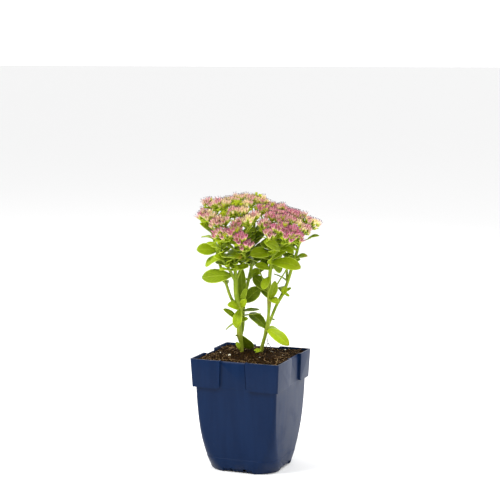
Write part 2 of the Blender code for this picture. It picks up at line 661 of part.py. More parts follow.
# Each head: the branch that carries it, and the middles of its bunches
HEADS = {
    "head_far_left": ("left", "outer", [
        (-42, -5, 257), (-35, 4, 257), (-29, -10, 257), (-41, 12, 246), (-36, -20, 252), (-47, 3, 247),
        (-27, 7, 256)]),
    "head_left": ("left", "front_left", [
        (-35, 21, 241), (-27, 21, 242), (-32, 30, 231), (-24, 32, 230), (-26, 14, 248)]),
    "head_middle": ("left", "front_middle", [
        (-17, 36, 234), (-11, 41, 228), (-14, 27, 241), (-6, 38, 221), (-18, 17, 251), (-4, 30, 243),
        (-8, 17, 251), (2, 21, 247)]),
    "head_top": ("left", "front_right", [
        (-21, -4, 258), (-15, -12, 260), (-9, -21, 260), (-1, -9, 260), (-5, 5, 256), (-18, -27, 255),
        (-14, 6, 257)]),
    "head_back": ("left", "back", [
        (6, -19, 262), (11, -10, 258), (0, -31, 256), (13, -30, 253)]),
    "head_inner_right": ("right", "inner_front", [
        (10, 5, 252), (13, 24, 240), (19, 13, 245), (17, 32, 231), (25, 31, 236), (22, 2, 249)]),
    "head_right": ("right", "inner_right", [
        (32, 33, 236), (40, 31, 234), (35, 39, 228), (45, 28, 228), (38, 10, 242), (30, 17, 242),
        (31, 5, 246)]),
    "head_far_right": ("right", "outer", [
        (46, -8, 244), (54, -12, 241), (62, -3, 236), (54, 8, 233), (47, 13, 237), (44, -20, 244),
        (39, -2, 247)]),
    "head_rear_right": ("right", "outer_back", [
        (21, -9, 252), (31, -11, 250), (26, -28, 248), (36, -28, 245), (29, -20, 249)]),
}


# One bunch: rings of five points on its core, as share of the core's radius and height above its
# middle. The first pentagon and the five below it each carry one flower.
NECK = -1.75
BUNCH_RINGS = [(0.62, 0.80, 0.0), (1.0, 0.12, 0.0), (0.86, -0.42, 0.5), (0.22, NECK, 0.5)]


def aim(direction, spin):
    """A turn that stands +Z along a direction, after a spin about it."""
    return direction.to_track_quat("Z", "Y").to_matrix().to_4x4() @ Matrix.Rotation(spin, 4, "Z")


class Room:
    """What a bunch's petals keep clear of: heads and stems already built, and other cores and rays."""

    def __init__(self):
        self.trees = []
        self.rods = []

    def add_solid(self, piece):
        mesh_data = bmesh.new()
        mesh_data.from_mesh(piece.data)
        self.trees.append(BVHTree.FromBMesh(mesh_data))
        mesh_data.free()

    def add_rod(self, owner, start, end, radius):
        self.rods.append((owner, start, end, radius * MM))

    def clear(self, owner, point, radius):
        """Whether a ball of this radius, in millimetres, keeps its gap to all that isn't its own."""
        reach = (radius + CLEARANCE) * MM
        if any(tree.find_nearest(point, reach)[0] is not None for tree in self.trees):
            return False
        for rod_owner, start, end, rod_radius in self.rods:
            if rod_owner != owner:
                nearest, share = intersect_point_line(point, start, end)
                nearest = start.lerp(end, min(max(share, 0.0), 1.0))
                if (point - nearest).length < reach + rod_radius:
                    return False
        return True


def hub_place(branch):
    """The middle of the knot that sits just off a branch's end, in line with it."""
    end = place(*branch[-1][:3])
    before = place(*branch[-2][:3])
    return end + (end - before).normalized() * ((CLEARANCE + HUB_RADIUS) * MM)


def core_place(bunch):
    """The middle of a bunch's core, and the way the bunch leans."""
    middle = place(*bunch)
    lean = (middle - place(*HEART)).normalized()
    return middle - lean * (CORE_SINK * MM), lean


def petal_tip(owner, first, second, face_middle, outward, length, room):
    """The tip of one petal, pulled back until the petal is clear of its neighbours."""
    root = (first + second) / 2
    spread = (root - face_middle).normalized()
    direction = (outward + spread * PETAL_SPREAD).normalized()
    for share in PETAL_SHARES:
        reach = length * share
        if all(room.clear(owner, root + direction * (reach * part), thickness)
               for part, thickness in ((0.35, 1.0), (0.7, 0.6), (1.0, 0.2))):
            break
    return root + direction * reach


def bunch_mesh(name, start, bunch, room, draw, collection):
    """A bunch on its ray: a core whose upper faces each open in a starry flower of five petals."""
    middle, lean = core_place(bunch)
    frame = Matrix.Translation(middle) @ aim(lean, draw.uniform(0, 2 * math.pi))
    mesh_data = bmesh.new()
    rings = []
    for spread, height, offset in BUNCH_RINGS:
        ring = []
        for step in range(5):
            angle = (step + offset) * 2 * math.pi / 5
            local = Vector((spread * math.cos(angle), spread * math.sin(angle), height))
            ring.append(mesh_data.verts.new(frame @ (local * CORE_RADIUS * MM)))
        rings.append(ring)
    crown, shoulder, belly, neck = rings
    foot = [mesh_data.verts.new(vertex.co.copy()) for vertex in neck]
    neck_middle = sum((vertex.co for vertex in neck), Vector()) / 5
    for vertex in foot:
        vertex.co += start - neck_middle
    flowers = [list(crown)]
    for step in range(5):
        after = (step + 1) % 5
        flowers.append([crown[after], crown[step], shoulder[step], belly[step], shoulder[after]])
        mesh_data.faces.new((belly[step], shoulder[step], neck[step]))
        mesh_data.faces.new((shoulder[step], neck[step - 1], neck[step]))
        mesh_data.faces.new((shoulder[step], belly[step - 1], neck[step - 1]))
        mesh_data.faces.new((neck[step], neck[after], foot[after], foot[step]))
    mesh_data.faces.new(list(reversed(foot)))
    for corners in flowers:
        add_flower(mesh_data, name, corners, middle, lean, room, draw)
    bmesh.ops.recalc_face_normals(mesh_data, faces=mesh_data.faces)
    return object_from_bmesh(name, mesh_data, collection)


def add_flower(mesh_data, name, corners, core_middle, lean, room, draw):
    """Five pointed petals on the edges of one face of the core, round a sunk middle."""
    face_middle = sum((vertex.co for vertex in corners), Vector()) / 5
    outward = ((face_middle - core_middle).normalized() + lean * FLOWER_LIFT).normalized()
    heart = mesh_data.verts.new(face_middle + outward * (HEART_RISE * MM))
    for index, first in enumerate(corners):
        second = corners[(index + 1) % 5]
        length = PETAL_LENGTH * draw.uniform(0.85, 1.1) * MM
        tip = mesh_data.verts.new(petal_tip(name, first.co, second.co, face_middle, outward, length, room))
        mesh_data.faces.new((first, second, tip))
        mesh_data.faces.new((second, heart, tip))
        mesh_data.faces.new((heart, first, tip))


def hub_ball(name, middle, collection):
    mesh_data = bmesh.new()
    bmesh.ops.create_icosphere(mesh_data, subdivisions=1, radius=HUB_RADIUS * MM)
    bmesh.ops.translate(mesh_data, verts=mesh_data.verts, vec=middle)
    return object_from_bmesh(f"{name}_hub", mesh_data, collection)


def build_head(name, branch, bunches, room, collection, material):
    """One flower head: bunches on rays that spring from the branch's end.

    Where two petals happen to touch along an edge, the flowers are drawn again.
    """
    start = hub_place(branch)
    for draft in range(MOST_DRAFTS):
        draw = random.Random(f"{name} {draft}")
        pieces = [hub_ball(name, start, collection)]
        pieces += [bunch_mesh(f"{name}_bunch_{number}", start, bunch, room, draw, collection)
                   for number, bunch in enumerate(bunches)]
        head = fuse(name, pieces, collection, material)
        if is_sound(head.data):
            break
        if draft < MOST_DRAFTS - 1:
            bpy.data.objects.remove(head, do_unlink=True)
    return head


def is_sound(mesh):
    """Whether the mesh stays closed when points closer than a weld distance count as one."""
    for weld in WELDS:
        keys = [tuple(round(value / weld) for value in vertex.co) for vertex in mesh.vertices]
        edges = set()
        for polygon in mesh.polygons:
            corners = [keys[index] for index in polygon.vertices]
            if len(set(corners)) < 3:
                continue
            for edge in zip(corners, corners[1:] + corners[:1]):
                if edge in edges:
                    return False
                edges.add(edge)
        if any((end, start) not in edges for start, end in edges):
            return False
    return True


def reserve_heads(room, stems):
    """Note every head's cores and rays before the first flower opens."""
    for name, (side, branch, bunches) in HEADS.items():
        start = hub_place(stems[side][branch])
        for number, bunch in enumerate(bunches):
            middle, lean = core_place(bunch)
            neck = middle + lean * (NECK * CORE_RADIUS * MM)
            owner = f"{name}_bunch_{number}"
            room.add_rod(owner, middle, neck, CORE_RADIUS)
            room.add_rod(owner, start, neck, RAY_RADIUS)


def main():
    clear_scene()
    collection = new_collection("potted_showy_stonecrop")
    cutters = new_collection("cutters")
    navy = make_material("navy plastic", (0.018, 0.037, 0.095), 0.42)
    earth = make_material("potting soil", (0.055, 0.032, 0.02), 0.95)
    green = make_material("stem and leaf", (0.27, 0.40, 0.035), 0.5)
    pink = make_material("stonecrop flower", (0.62, 0.25, 0.33), 0.6)

    build_pot(collection, cutters, navy)
    build_soil(collection, cutters, earth, [LEFT_STEMS["main"][0], RIGHT_STEMS["main"][0]])
    room = Room()
    room.add_solid(build_leafy_stem("stem_left", LEFT_STEMS, LEFT_LEAVES, collection, green))
    room.add_solid(build_leafy_stem("stem_right", RIGHT_STEMS, RIGHT_LEAVES, collection, green))

    stems = {"left": LEFT_STEMS, "right": RIGHT_STEMS}
    reserve_heads(room, stems)
    for name, (side, branch, bunches) in HEADS.items():
        room.add_solid(build_head(name, stems[side][branch], bunches, room, collection, pink))


main()
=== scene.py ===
"""The looks of a potted showy stonecrop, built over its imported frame.

Two leafy stems with flat flower heads stand in a square nursery pot. Fields and lists hold
millimetres, and MM turns them into metres. The plant is laid out across, toward and up from a
line that is turned from X, as its solids are.
"""

import logging
import math
import random
from collections.abc import Callable, Iterator
from contextlib import contextmanager
from dataclasses import dataclass, field
from enum import Enum

import bmesh
import bpy
from mathutils import Matrix, Vector


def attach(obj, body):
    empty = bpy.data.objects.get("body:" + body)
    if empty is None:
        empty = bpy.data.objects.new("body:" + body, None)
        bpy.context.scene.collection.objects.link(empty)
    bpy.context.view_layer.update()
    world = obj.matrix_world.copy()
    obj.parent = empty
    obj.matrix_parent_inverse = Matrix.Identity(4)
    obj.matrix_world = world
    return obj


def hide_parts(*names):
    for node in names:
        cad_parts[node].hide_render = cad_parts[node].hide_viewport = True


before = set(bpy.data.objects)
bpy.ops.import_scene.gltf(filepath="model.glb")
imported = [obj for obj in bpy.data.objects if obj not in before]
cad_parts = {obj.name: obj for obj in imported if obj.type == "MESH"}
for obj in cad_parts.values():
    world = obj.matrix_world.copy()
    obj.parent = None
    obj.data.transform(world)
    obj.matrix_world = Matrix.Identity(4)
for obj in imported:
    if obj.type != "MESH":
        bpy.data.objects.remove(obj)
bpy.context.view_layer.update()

MM = 0.001
LAYOUT_ANGLE = math.radians(22.0)
GOLDEN_ANGLE = math.pi * (3 - math.sqrt(5))
UP = Vector((0, 0, 1))

Triple = tuple[float, float, float]
Knot = tuple[float, float, float, float]
LeafRow = tuple[Triple, Triple, float, float, float, float, float]
Colour = tuple[float, float, float, float]
Piece = bpy.types.Object
Material = bpy.types.Material
Socket = bpy.types.NodeSocket

log = logging.getLogger("stonecrop")


def place(across: float, toward: float, height: float) -> Vector:
    """Turn a point of the plant's layout into the frame's metres.

    Args:
        across: How far to the right the point lies, seen from the front.
        toward: How far to the front it lies.
        height: How high it lies above the pot's base.

    Returns:
        The point in metres.
    """
    turned_x = across * math.cos(LAYOUT_ANGLE) + toward * math.sin(LAYOUT_ANGLE)
    turned_y = across * math.sin(LAYOUT_ANGLE) - toward * math.cos(LAYOUT_ANGLE)
    return Vector((turned_x, turned_y, height)) * MM


def aim(direction: Vector, spin: float) -> Matrix:
    """Stand +Z along a direction, after a spin about it.

    Args:
        direction: Where +Z shall point.
        spin: The turn about +Z that comes first, in radians.

    Returns:
        The turn as a 4 by 4 matrix.
    """
    return direction.to_track_quat("Z", "Y").to_matrix().to_4x4() @ Matrix.Rotation(spin, 4, "Z")


class Bench:
    """The hand tools that the pieces are made with, each a thin cover over Blender's operators."""

    @staticmethod
    def clear() -> None:
        """Deselect everything."""
        bpy.ops.object.select_all(action="DESELECT")

    @staticmethod
    def take(*pieces: Piece) -> None:
        """Select these pieces alone and make the first one active.

        Args:
            pieces: The pieces to work on.
        """
        Bench.clear()
        for piece in pieces:
            piece.select_set(True)
        bpy.context.view_layer.objects.active = pieces[0]

    @staticmethod
    @contextmanager
    def editing(piece: Piece) -> Iterator[None]:
        """Work on a piece in edit mode, by its vertices, with nothing selected at first.

        Args:
            piece: The piece to edit.

        Yields:
            Nothing; the piece is in edit mode meanwhile.
        """
        Bench.take(piece)
        bpy.ops.object.mode_set(mode="EDIT")
        bpy.ops.mesh.select_mode(type="VERT")
        bpy.ops.mesh.select_all(action="DESELECT")
        yield
        bpy.ops.object.mode_set(mode="OBJECT")

    @staticmethod
    def pick(test: Callable[[Vector], bool]) -> None:
        """Select the vertices of the edited piece whose place passes a test.

        Args:
            test: Says of a vertex's place whether it is wanted.
        """
        mesh = bpy.context.edit_object.data
        shape = bmesh.from_edit_mesh(mesh)
        for vertex in shape.verts:
            vertex.select = test(vertex.co)
        shape.select_flush_mode()
        bmesh.update_edit_mesh(mesh)

    @staticmethod
    def apply(piece: Piece, kind: str, **settings: object) -> None:
        """Add a modifier to a piece and apply it.

        Args:
            piece: The piece to change.
            kind: The modifier's type.
            settings: The modifier's settings.
        """
        modifier = piece.modifiers.new(kind.title(), kind)
        for name, value in settings.items():
            setattr(modifier, name, value)
        Bench.take(piece)
        bpy.ops.object.modifier_apply(modifier=modifier.name)

    @staticmethod
    def settle(piece: Piece) -> None:
        """Put a piece's place, turn and size in its mesh.

        Args:
            piece: The piece to settle.
        """
        Bench.take(piece)
        bpy.ops.object.transform_apply(location=True, rotation=True, scale=True)

    @staticmethod
    def join(name: str, pieces: list[Piece]) -> Piece:
        """Join pieces in one.

        Args:
            name: The joined piece's name.
            pieces: What is joined.

        Returns:
            The joined piece.
        """
        Bench.take(*pieces)
        if len(pieces) > 1:
            bpy.ops.object.join()
        joined = bpy.context.view_layer.objects.active
        joined.name = name
        joined.data.name = name
        return joined

    @staticmethod
    def copy(pattern: Piece, turn: Matrix, **marks: float) -> Piece:
        """Copy a pattern with a mesh of its own.

        Args:
            pattern: What is copied.
            turn: Where the copy goes.
            marks: Values of the mesh's attributes that are the same all over the copy.

        Returns:
            The copy.
        """
        mesh = pattern.data.copy()
        mesh.transform(turn)
        for name, value in marks.items():
            mesh.attributes[name].data.foreach_set("value", [value] * len(mesh.vertices))
        made = bpy.data.objects.new(pattern.name, mesh)
        bpy.context.scene.collection.objects.link(made)
        return made

    @staticmethod
    def mark(piece: Piece, name: str, value: Callable[[Vector], float] = lambda point: 0.0) -> None:
        """Give each vertex of a piece a value that its finish reads.

        Args:
            piece: The piece to mark.
            name: The attribute's name.
            value: Works out the value from the vertex's place, and is 0 all over if left out.
        """
        attribute = piece.data.attributes.new(name, "FLOAT", "POINT")
        attribute.data.foreach_set("value", [value(vertex.co) for vertex in piece.data.vertices])

    @staticmethod
    def mark_faces(piece: Piece, name: str, value: Callable[[Vector], float]) -> None:
        """Give each face of a piece a value that its finish reads.

        Args:
            piece: The piece to mark.
            name: The attribute's name.
            value: Works out the value from the way the face points.
        """
        attribute = piece.data.attributes.new(name, "FLOAT", "FACE")
        attribute.data.foreach_set("value", [value(face.normal) for face in piece.data.polygons])

    @staticmethod
    def close(piece: Piece, reach: float = 0.01) -> None:
        """Merge a piece's doubles and point its faces outwards.

        Args:
            piece: The piece to close.
            reach: How near two points are taken as one.
        """
        with Bench.editing(piece):
            bpy.ops.mesh.select_all(action="SELECT")
            bpy.ops.mesh.remove_doubles(threshold=reach * MM)
            bpy.ops.mesh.normals_make_consistent(inside=False)

    @staticmethod
    def smooth(piece: Piece, angle: float) -> None:
        """Shade a piece smooth, apart from edges sharper than an angle.

        Args:
            piece: The piece to shade.
            angle: The angle in degrees.
        """
        Bench.take(piece)
        bpy.ops.object.shade_smooth_by_angle(angle=math.radians(angle))

    @staticmethod
    def cut(piece: Piece, cutter: Piece, operation: str = "DIFFERENCE") -> None:
        """Cut a piece with another, which is then removed.

        Args:
            piece: The piece to cut.
            cutter: The solid that cuts it.
            operation: The Boolean operation.
        """
        Bench.apply(piece, "BOOLEAN", object=cutter, operation=operation, solver="EXACT")
        bpy.data.objects.remove(cutter, do_unlink=True)

    @staticmethod
    def paint(piece: Piece, material: Material) -> None:
        """Give a piece one finish all over.

        Args:
            piece: The piece to finish.
            material: Its finish.
        """
        piece.data.materials.clear()
        piece.data.materials.append(material)

    @staticmethod
    def tubes(name: str, routes: list[list[tuple[Vector, float]]], sides: int, steps: int) -> Piece:
        """Draw smooth round tubes through points.

        Args:
            name: The piece's name.
            routes: For each tube, its points in metres with the radius there in millimetres.
            sides: How round the tubes are, as the curve's bevel resolution.
            steps: How many stretches lie between two points.

        Returns:
            All the tubes as one mesh.
        """
        curve = bpy.data.curves.new(name, "CURVE")
        curve.dimensions = "3D"
        curve.bevel_depth = MM
        curve.bevel_resolution = sides
        curve.resolution_u = steps
        curve.use_fill_caps = True
        for route in routes:
            spline = curve.splines.new("BEZIER")
            spline.bezier_points.add(len(route) - 1)
            for knot, (point, radius) in zip(spline.bezier_points, route):
                knot.co = point
                knot.radius = radius
                knot.handle_left_type = knot.handle_right_type = "AUTO"
        drawn = bpy.data.objects.new(name, curve)
        bpy.context.scene.collection.objects.link(drawn)
        Bench.take(drawn)
        bpy.ops.object.convert(target="MESH")
        tube = bpy.context.view_layer.objects.active
        Bench.close(tube, 0.001)
        return tube


def hand_over(piece: Piece, slot: str, *nodes: str) -> None:
    """Let a finished piece ride on the body and stand for its nodes.

    Args:
        piece: The finished piece.
        slot: The record's material slot; not used.
        nodes: The nodes of the frame that it stands for.
    """
    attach(piece, "root")
    if nodes:
        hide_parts(*nodes)
    log.info("%s: %d faces", piece.name, len(piece.data.polygons))


class Value:
    """A number in a material's nodes, used in an expression like any other number."""

    def __init__(self, nodes: "Nodes", socket: Socket) -> None:
        """Wrap an output socket.

        Args:
            nodes: The material's nodes.
            socket: The output that gives the number.
        """
        self.nodes = nodes
        self.socket = socket

    def _math(self, operation: str, *terms: "Value | float") -> "Value":
        """Add a Math node.

        Args:
            operation: What the node does.
            terms: Its inputs in order.

        Returns:
            The result.
        """
        node = self.nodes.add("ShaderNodeMath", {"operation": operation}, dict(enumerate(terms)))
        return Value(self.nodes, node.outputs[0])

    def __add__(self, other: "Value | float") -> "Value":
        """Return the sum."""
        return self._math("ADD", self, other)

    __radd__ = __add__

    def __sub__(self, other: "Value | float") -> "Value":
        """Return the difference."""
        return self._math("SUBTRACT", self, other)

    def __rsub__(self, other: float) -> "Value":
        """Return the difference from a plain number."""
        return self._math("SUBTRACT", other, self)

    def __mul__(self, other: "Value | float") -> "Value":
        """Return the product."""
        return self._math("MULTIPLY", self, other)

    __rmul__ = __mul__

    def __abs__(self) -> "Value":
        """Return the size without its sign."""
        return self._math("ABSOLUTE", self)

    def wave(self) -> "Value":
        """Return the sine."""
        return self._math("SINE", self)

    def ease(self, low: float, high: float) -> "Value":
        """Rise smoothly from 0 to 1 between two bounds.

        Args:
            low: Where the result is 0.
            high: Where it is 1.

        Returns:
            The eased value.
        """
        node = self.nodes.add(
            "ShaderNodeMapRange", {"interpolation_type": "SMOOTHSTEP"},
            {"Value": self, "From Min": low, "From Max": high})
        return Value(self.nodes, node.outputs["Result"])


class Nodes:
    """The nodes of one material, or of the surroundings."""

    def __init__(self, name: str, world: bool = False) -> None:
        """Start a material or the surroundings.

        Args:
            name: Its name.
            world: Whether the nodes are the surroundings'.
        """
        self.material = bpy.data.worlds.new(name) if world else bpy.data.materials.new(name)
        self.material.use_nodes = True
        self.tree = self.material.node_tree
        self.shader = self.tree.nodes["Background" if world else "Principled BSDF"]

    @staticmethod
    def _socket(sockets: bpy.types.bpy_prop_collection, key: str | int) -> Socket:
        """Find a socket in use by its name or number.

        Args:
            sockets: A node's inputs or outputs.
            key: The name or number.

        Returns:
            The socket.
        """
        if isinstance(key, int):
            return sockets[key]
        return next(socket for socket in sockets if socket.name == key and socket.enabled)

    def add(self, kind: str, settings: dict | None = None, inputs: dict | None = None) -> bpy.types.Node:
        """Add a node.

        Args:
            kind: The node's type.
            settings: Its settings, which are set first.
            inputs: The value or link of each socket that matters.

        Returns:
            The node.
        """
        node = self.tree.nodes.new(kind)
        for name, value in (settings or {}).items():
            setattr(node, name, value)
        for key, value in (inputs or {}).items():
            self.feed(self._socket(node.inputs, key), value)
        return node

    def feed(self, socket: Socket, value: object) -> None:
        """Link a socket, or set its own value.

        Args:
            socket: The input.
            value: A value, an output socket or a plain value.
        """
        if isinstance(value, Value):
            value = value.socket
        if isinstance(value, Socket):
            self.tree.links.new(value, socket)
        else:
            socket.default_value = value

    def set(self, **inputs: object) -> None:
        """Set or link sockets of the shader, with _ for each space in their names.

        Args:
            inputs: The sockets' values or links.
        """
        for name, value in inputs.items():
            self.feed(self.shader.inputs[name.replace("_", " ")], value)

    def mix(self, factor: Value | float, first: object, second: object) -> Socket:
        """Mix two colours.

        Args:
            factor: How much of the second shows.
            first: The first colour.
            second: The second colour.

        Returns:
            The mixed colour.
        """
        node = self.add("ShaderNodeMix", {"data_type": "RGBA"}, {"Factor": factor, "A": first, "B": second})
        return self._socket(node.outputs, "Result")

    def around(self, scale: Triple = (1, 1, 1)) -> Socket:
        """Give the object's own coordinates, scaled.

        Args:
            scale: The factor along each axis.

        Returns:
            The coordinates.
        """
        source = self.add("ShaderNodeTexCoord")
        mapping = self.add("ShaderNodeMapping", None, {"Vector": source.outputs["Object"], "Scale": scale})
        return mapping.outputs["Vector"]

    def noise(self, size: float, detail: float = 3.0, stretch: Triple = (1, 1, 1)) -> Value:
        """Make a cloudy pattern from 0 to 1.

        Args:
            size: The size of its clouds in millimetres.
            detail: How many finer layers it has.
            stretch: How much longer than that the clouds are along each axis.

        Returns:
            The pattern's value.
        """
        scale = tuple(1 / (size * MM * longer) for longer in stretch)
        node = self.add("ShaderNodeTexNoise", None, {
            "Vector": self.around(scale), "Scale": 1.0, "Detail": detail, "Roughness": 0.55})
        return Value(self, node.outputs["Fac"])

    def mark(self, name: str) -> Value:
        """Read a value that the mesh carries.

        Args:
            name: The attribute's name.

        Returns:
            Its value.
        """
        node = self.add("ShaderNodeAttribute", {"attribute_name": name})
        return Value(self, node.outputs["Fac"])

    def leaf_place(self) -> tuple[Value, Value]:
        """Read where a point lies on its leaf.

        Returns:
            Its place across, and from base to tip, each from 0 to 1.
        """
        source = self.add("ShaderNodeUVMap", {"uv_map": "UVMap"})
        parts = self.add("ShaderNodeSeparateXYZ", None, {"Vector": source.outputs["UV"]})
        return Value(self, parts.outputs["X"]), Value(self, parts.outputs["Y"])

    def height(self) -> Value:
        """Return the height of a point, in metres."""
        parts = self.add("ShaderNodeSeparateXYZ", None, {"Vector": self.around()})
        return Value(self, parts.outputs["Z"])

    def bump(self, relief: Value, depth: float, strength: float = 1.0) -> None:
        """Raise the surface's shading by a relief.

        Args:
            relief: The relief from 0 to 1.
            depth: How deep it is in millimetres.
            strength: How much of it shows.
        """
        node = self.add("ShaderNodeBump", None,
                        {"Strength": strength, "Distance": depth * MM, "Height": relief})
        self.set(Normal=node.outputs["Normal"])


@dataclass(frozen=True)
class NavyPlastic:
    """Satin navy polypropylene with faint flow streaks, scuffs and a little dust."""

    base: Colour = (0.0010, 0.0115, 0.047, 1)
    streak: Colour = (0.0025, 0.0155, 0.058, 1)
    scuff: Colour = (0.040, 0.066, 0.130, 1)
    dust: Colour = (0.075, 0.070, 0.065, 1)

    def material(self) -> Material:
        """Make the finish.

        Returns:
            The material.
        """
        nodes = Nodes("navy plastic")
        streaks = nodes.noise(7.0, 4.0, (1, 1, 9)).ease(0.35, 0.7)
        scratches = nodes.noise(1.1, 2.0, (1, 1, 14)).ease(0.66, 0.80)
        patches = nodes.noise(22.0, 3.0).ease(0.45, 0.75)
        low = 1 - nodes.height().ease(0.0, 0.014)
        colour = nodes.mix(streaks * 0.7, self.base, self.streak)
        colour = nodes.mix(scratches * patches * 0.28, colour, self.scuff)
        colour = nodes.mix(low * patches * 0.22, colour, self.dust)
        nodes.set(Base_Color=colour, Roughness=patches * 0.10 + streaks * 0.05 + 0.32,
                  Specular_IOR_Level=0.12)
        nodes.bump(nodes.noise(0.9, 3.0) * 0.6 + scratches * 0.4, 0.05, 0.5)
        return nodes.material


@dataclass(frozen=True)
class PottingSoil:
    """Dark damp potting mix: black-brown crumbs with a rusty fleck here and there."""

    dark: Colour = (0.004, 0.0025, 0.0008, 1)
    brown: Colour = (0.030, 0.014, 0.003, 1)
    rust: Colour = (0.13, 0.060, 0.018, 1)

    def material(self) -> Material:
        """Make the finish.

        Returns:
            The material.
        """
        nodes = Nodes("potting soil")
        crumbs = nodes.noise(2.4, 5.0)
        flecks = nodes.noise(0.8, 2.0).ease(0.62, 0.74)
        colour = nodes.mix(crumbs.ease(0.35, 0.68), self.dark, self.brown)
        colour = nodes.mix(flecks * 0.45, colour, self.rust)
        nodes.set(Base_Color=colour, Roughness=crumbs * 0.2 + 0.78, Specular_IOR_Level=0.03)
        nodes.bump(crumbs * 0.7 + nodes.noise(0.7, 3.0) * 0.5, 0.9)
        return nodes.material


@dataclass(frozen=True)
class SoilBit:
    """One kind of loose bit in the soil, with a colour that changes from bit to bit."""

    name: str
    dark: Colour
    light: Colour
    grain: float = 1.2
    roughness: float = 0.8

    def material(self) -> Material:
        """Make the finish.

        Returns:
            The material.
        """
        nodes = Nodes(self.name)
        grain = nodes.noise(self.grain, 4.0)
        tint = nodes.mark("tint")
        colour = nodes.mix(tint * 0.75 + grain.ease(0.3, 0.7) * 0.25, self.dark, self.light)
        nodes.set(Base_Color=colour, Roughness=grain * 0.15 + self.roughness, Specular_IOR_Level=0.1)
        nodes.bump(grain, 0.25)
        return nodes.material


@dataclass(frozen=True)
class LeafSkin:
    """A fleshy leaf: bright green to dark green, darker when older and with painted shade on leaves in shade,
    with a pale rim, a sunk rib and faint side veins.
    """

    fresh_and_lit: Colour = (0.295, 0.400, 0.004, 1)
    deep: Colour = (0.034, 0.074, 0.001, 1)
    pale: Colour = (0.60, 0.72, 0.090, 1)
    dry: Colour = (0.34, 0.17, 0.03, 1)
    veins: float = 7.0

    def material(self) -> Material:
        """Make the finish.

        Returns:
            The material.
        """
        nodes = Nodes("leaf skin")
        across, along = nodes.leaf_place()
        age = nodes.mark("age")
        side = abs(across - 0.5)
        rim = side.ease(0.40, 0.5)
        rib = 1 - side.ease(0.0, 0.05)
        veins = ((along - side * 0.9) * (self.veins * 2 * math.pi)).wave().ease(0.55, 1.0)
        mottle = nodes.noise(3.2, 4.0)
        # Painted shade: the darkness mark turns leaves that lie in shade, and old leaves, from bright green
        # to deep green
        colour = nodes.mix(age + (mottle - 0.5) * 0.5, self.fresh_and_lit, self.deep)
        colour = nodes.mix(veins * 0.10 + rib * 0.20 + rim * 0.70, colour, self.pale)
        colour = nodes.mix(nodes.mark("dry") * (mottle.ease(0.3, 0.6) * 0.6 + 0.4), colour, self.dry)
        nodes.set(Base_Color=colour, Roughness=mottle * 0.16 + 0.40, Specular_IOR_Level=0.12,
                  Subsurface_Weight=0.08, Subsurface_Radius=(0.6, 0.8, 0.05), Subsurface_Scale=0.0015)
        nodes.bump(nodes.noise(0.9, 3.0) * 0.4 + (1 - rib) * 0.5 + (1 - veins) * 0.12, 0.28, 0.7)
        return nodes.material


@dataclass(frozen=True)
class StemSkin:
    """Pale yellow-green stem, with fine lengthwise lines and a blush at its joints."""

    name: str = "stem skin"
    pale: Colour = (0.38, 0.46, 0.045, 1)
    green: Colour = (0.18, 0.27, 0.010, 1)
    blush: Colour = (0.22, 0.085, 0.035, 1)

    def material(self) -> Material:
        """Make the finish.

        Returns:
            The material.
        """
        nodes = Nodes(self.name)
        lines = nodes.noise(0.8, 3.0, (1, 1, 10))
        patches = nodes.noise(9.0, 3.0, (1, 1, 2))
        colour = nodes.mix(patches.ease(0.3, 0.7) * 0.7 + lines * 0.3, self.pale, self.green)
        colour = nodes.mix(nodes.mark("blush") * (lines.ease(0.3, 0.6) * 0.5 + 0.5), colour, self.blush)
        nodes.set(Base_Color=colour, Roughness=lines * 0.15 + 0.40, Specular_IOR_Level=0.15)
        nodes.bump(lines, 0.2, 0.6)
        return nodes.material


@dataclass(frozen=True)
class PetalSkin:
    """A petal: greenish cream at its foot, dusky pink above, deeper on its inner face."""

    green: Colour = (0.45, 0.54, 0.020, 1)
    foot: Colour = (0.70, 0.74, 0.110, 1)
    cream: Colour = (0.90, 0.77, 0.40, 1)
    pale: Colour = (0.87, 0.57, 0.52, 1)
    deep: Colour = (0.73, 0.25, 0.41, 1)
    inner: Colour = (0.55, 0.080, 0.21, 1)

    def material(self) -> Material:
        """Make the finish.

        Returns:
            The material.
        """
        nodes = Nodes("petal skin")
        bloom = nodes.mark("bloom")
        reach = nodes.mark("reach")
        inside = nodes.mark("inside")
        mottle = nodes.noise(1.6, 3.0)
        colour = nodes.mix(bloom.ease(0.15, 0.50), self.cream, self.pale)
        colour = nodes.mix(bloom.ease(0.45, 1.0), colour, self.deep)
        colour = nodes.mix(mottle.ease(0.45, 0.75) * 0.35, colour, self.cream)
        colour = nodes.mix(inside * bloom.ease(0.05, 0.7) * 0.85, colour, self.inner)
        colour = nodes.mix(1 - reach.ease(0.14, 0.70), colour, self.foot)
        colour = nodes.mix(1 - bloom.ease(0.0, 0.10), colour, self.green)
        nodes.set(Base_Color=colour, Roughness=mottle * 0.15 + 0.5, Specular_IOR_Level=0.2)
        return nodes.material


@dataclass(frozen=True)
class HeartSkin:
    """The pointed seed cases in a flower's middle, deeper than its petals."""

    foot: Colour = (0.52, 0.42, 0.08, 1)
    rose: Colour = (0.48, 0.050, 0.15, 1)

    def material(self) -> Material:
        """Make the finish.

        Returns:
            The material.
        """
        nodes = Nodes("heart skin")
        reach = nodes.mark("reach")
        colour = nodes.mix(reach.ease(0.05, 0.45) * (nodes.mark("bloom") * 0.5 + 0.5), self.foot, self.rose)
        nodes.set(Base_Color=colour, Roughness=nodes.noise(1.0) * 0.2 + 0.4, Specular_IOR_Level=0.25)
        return nodes.material


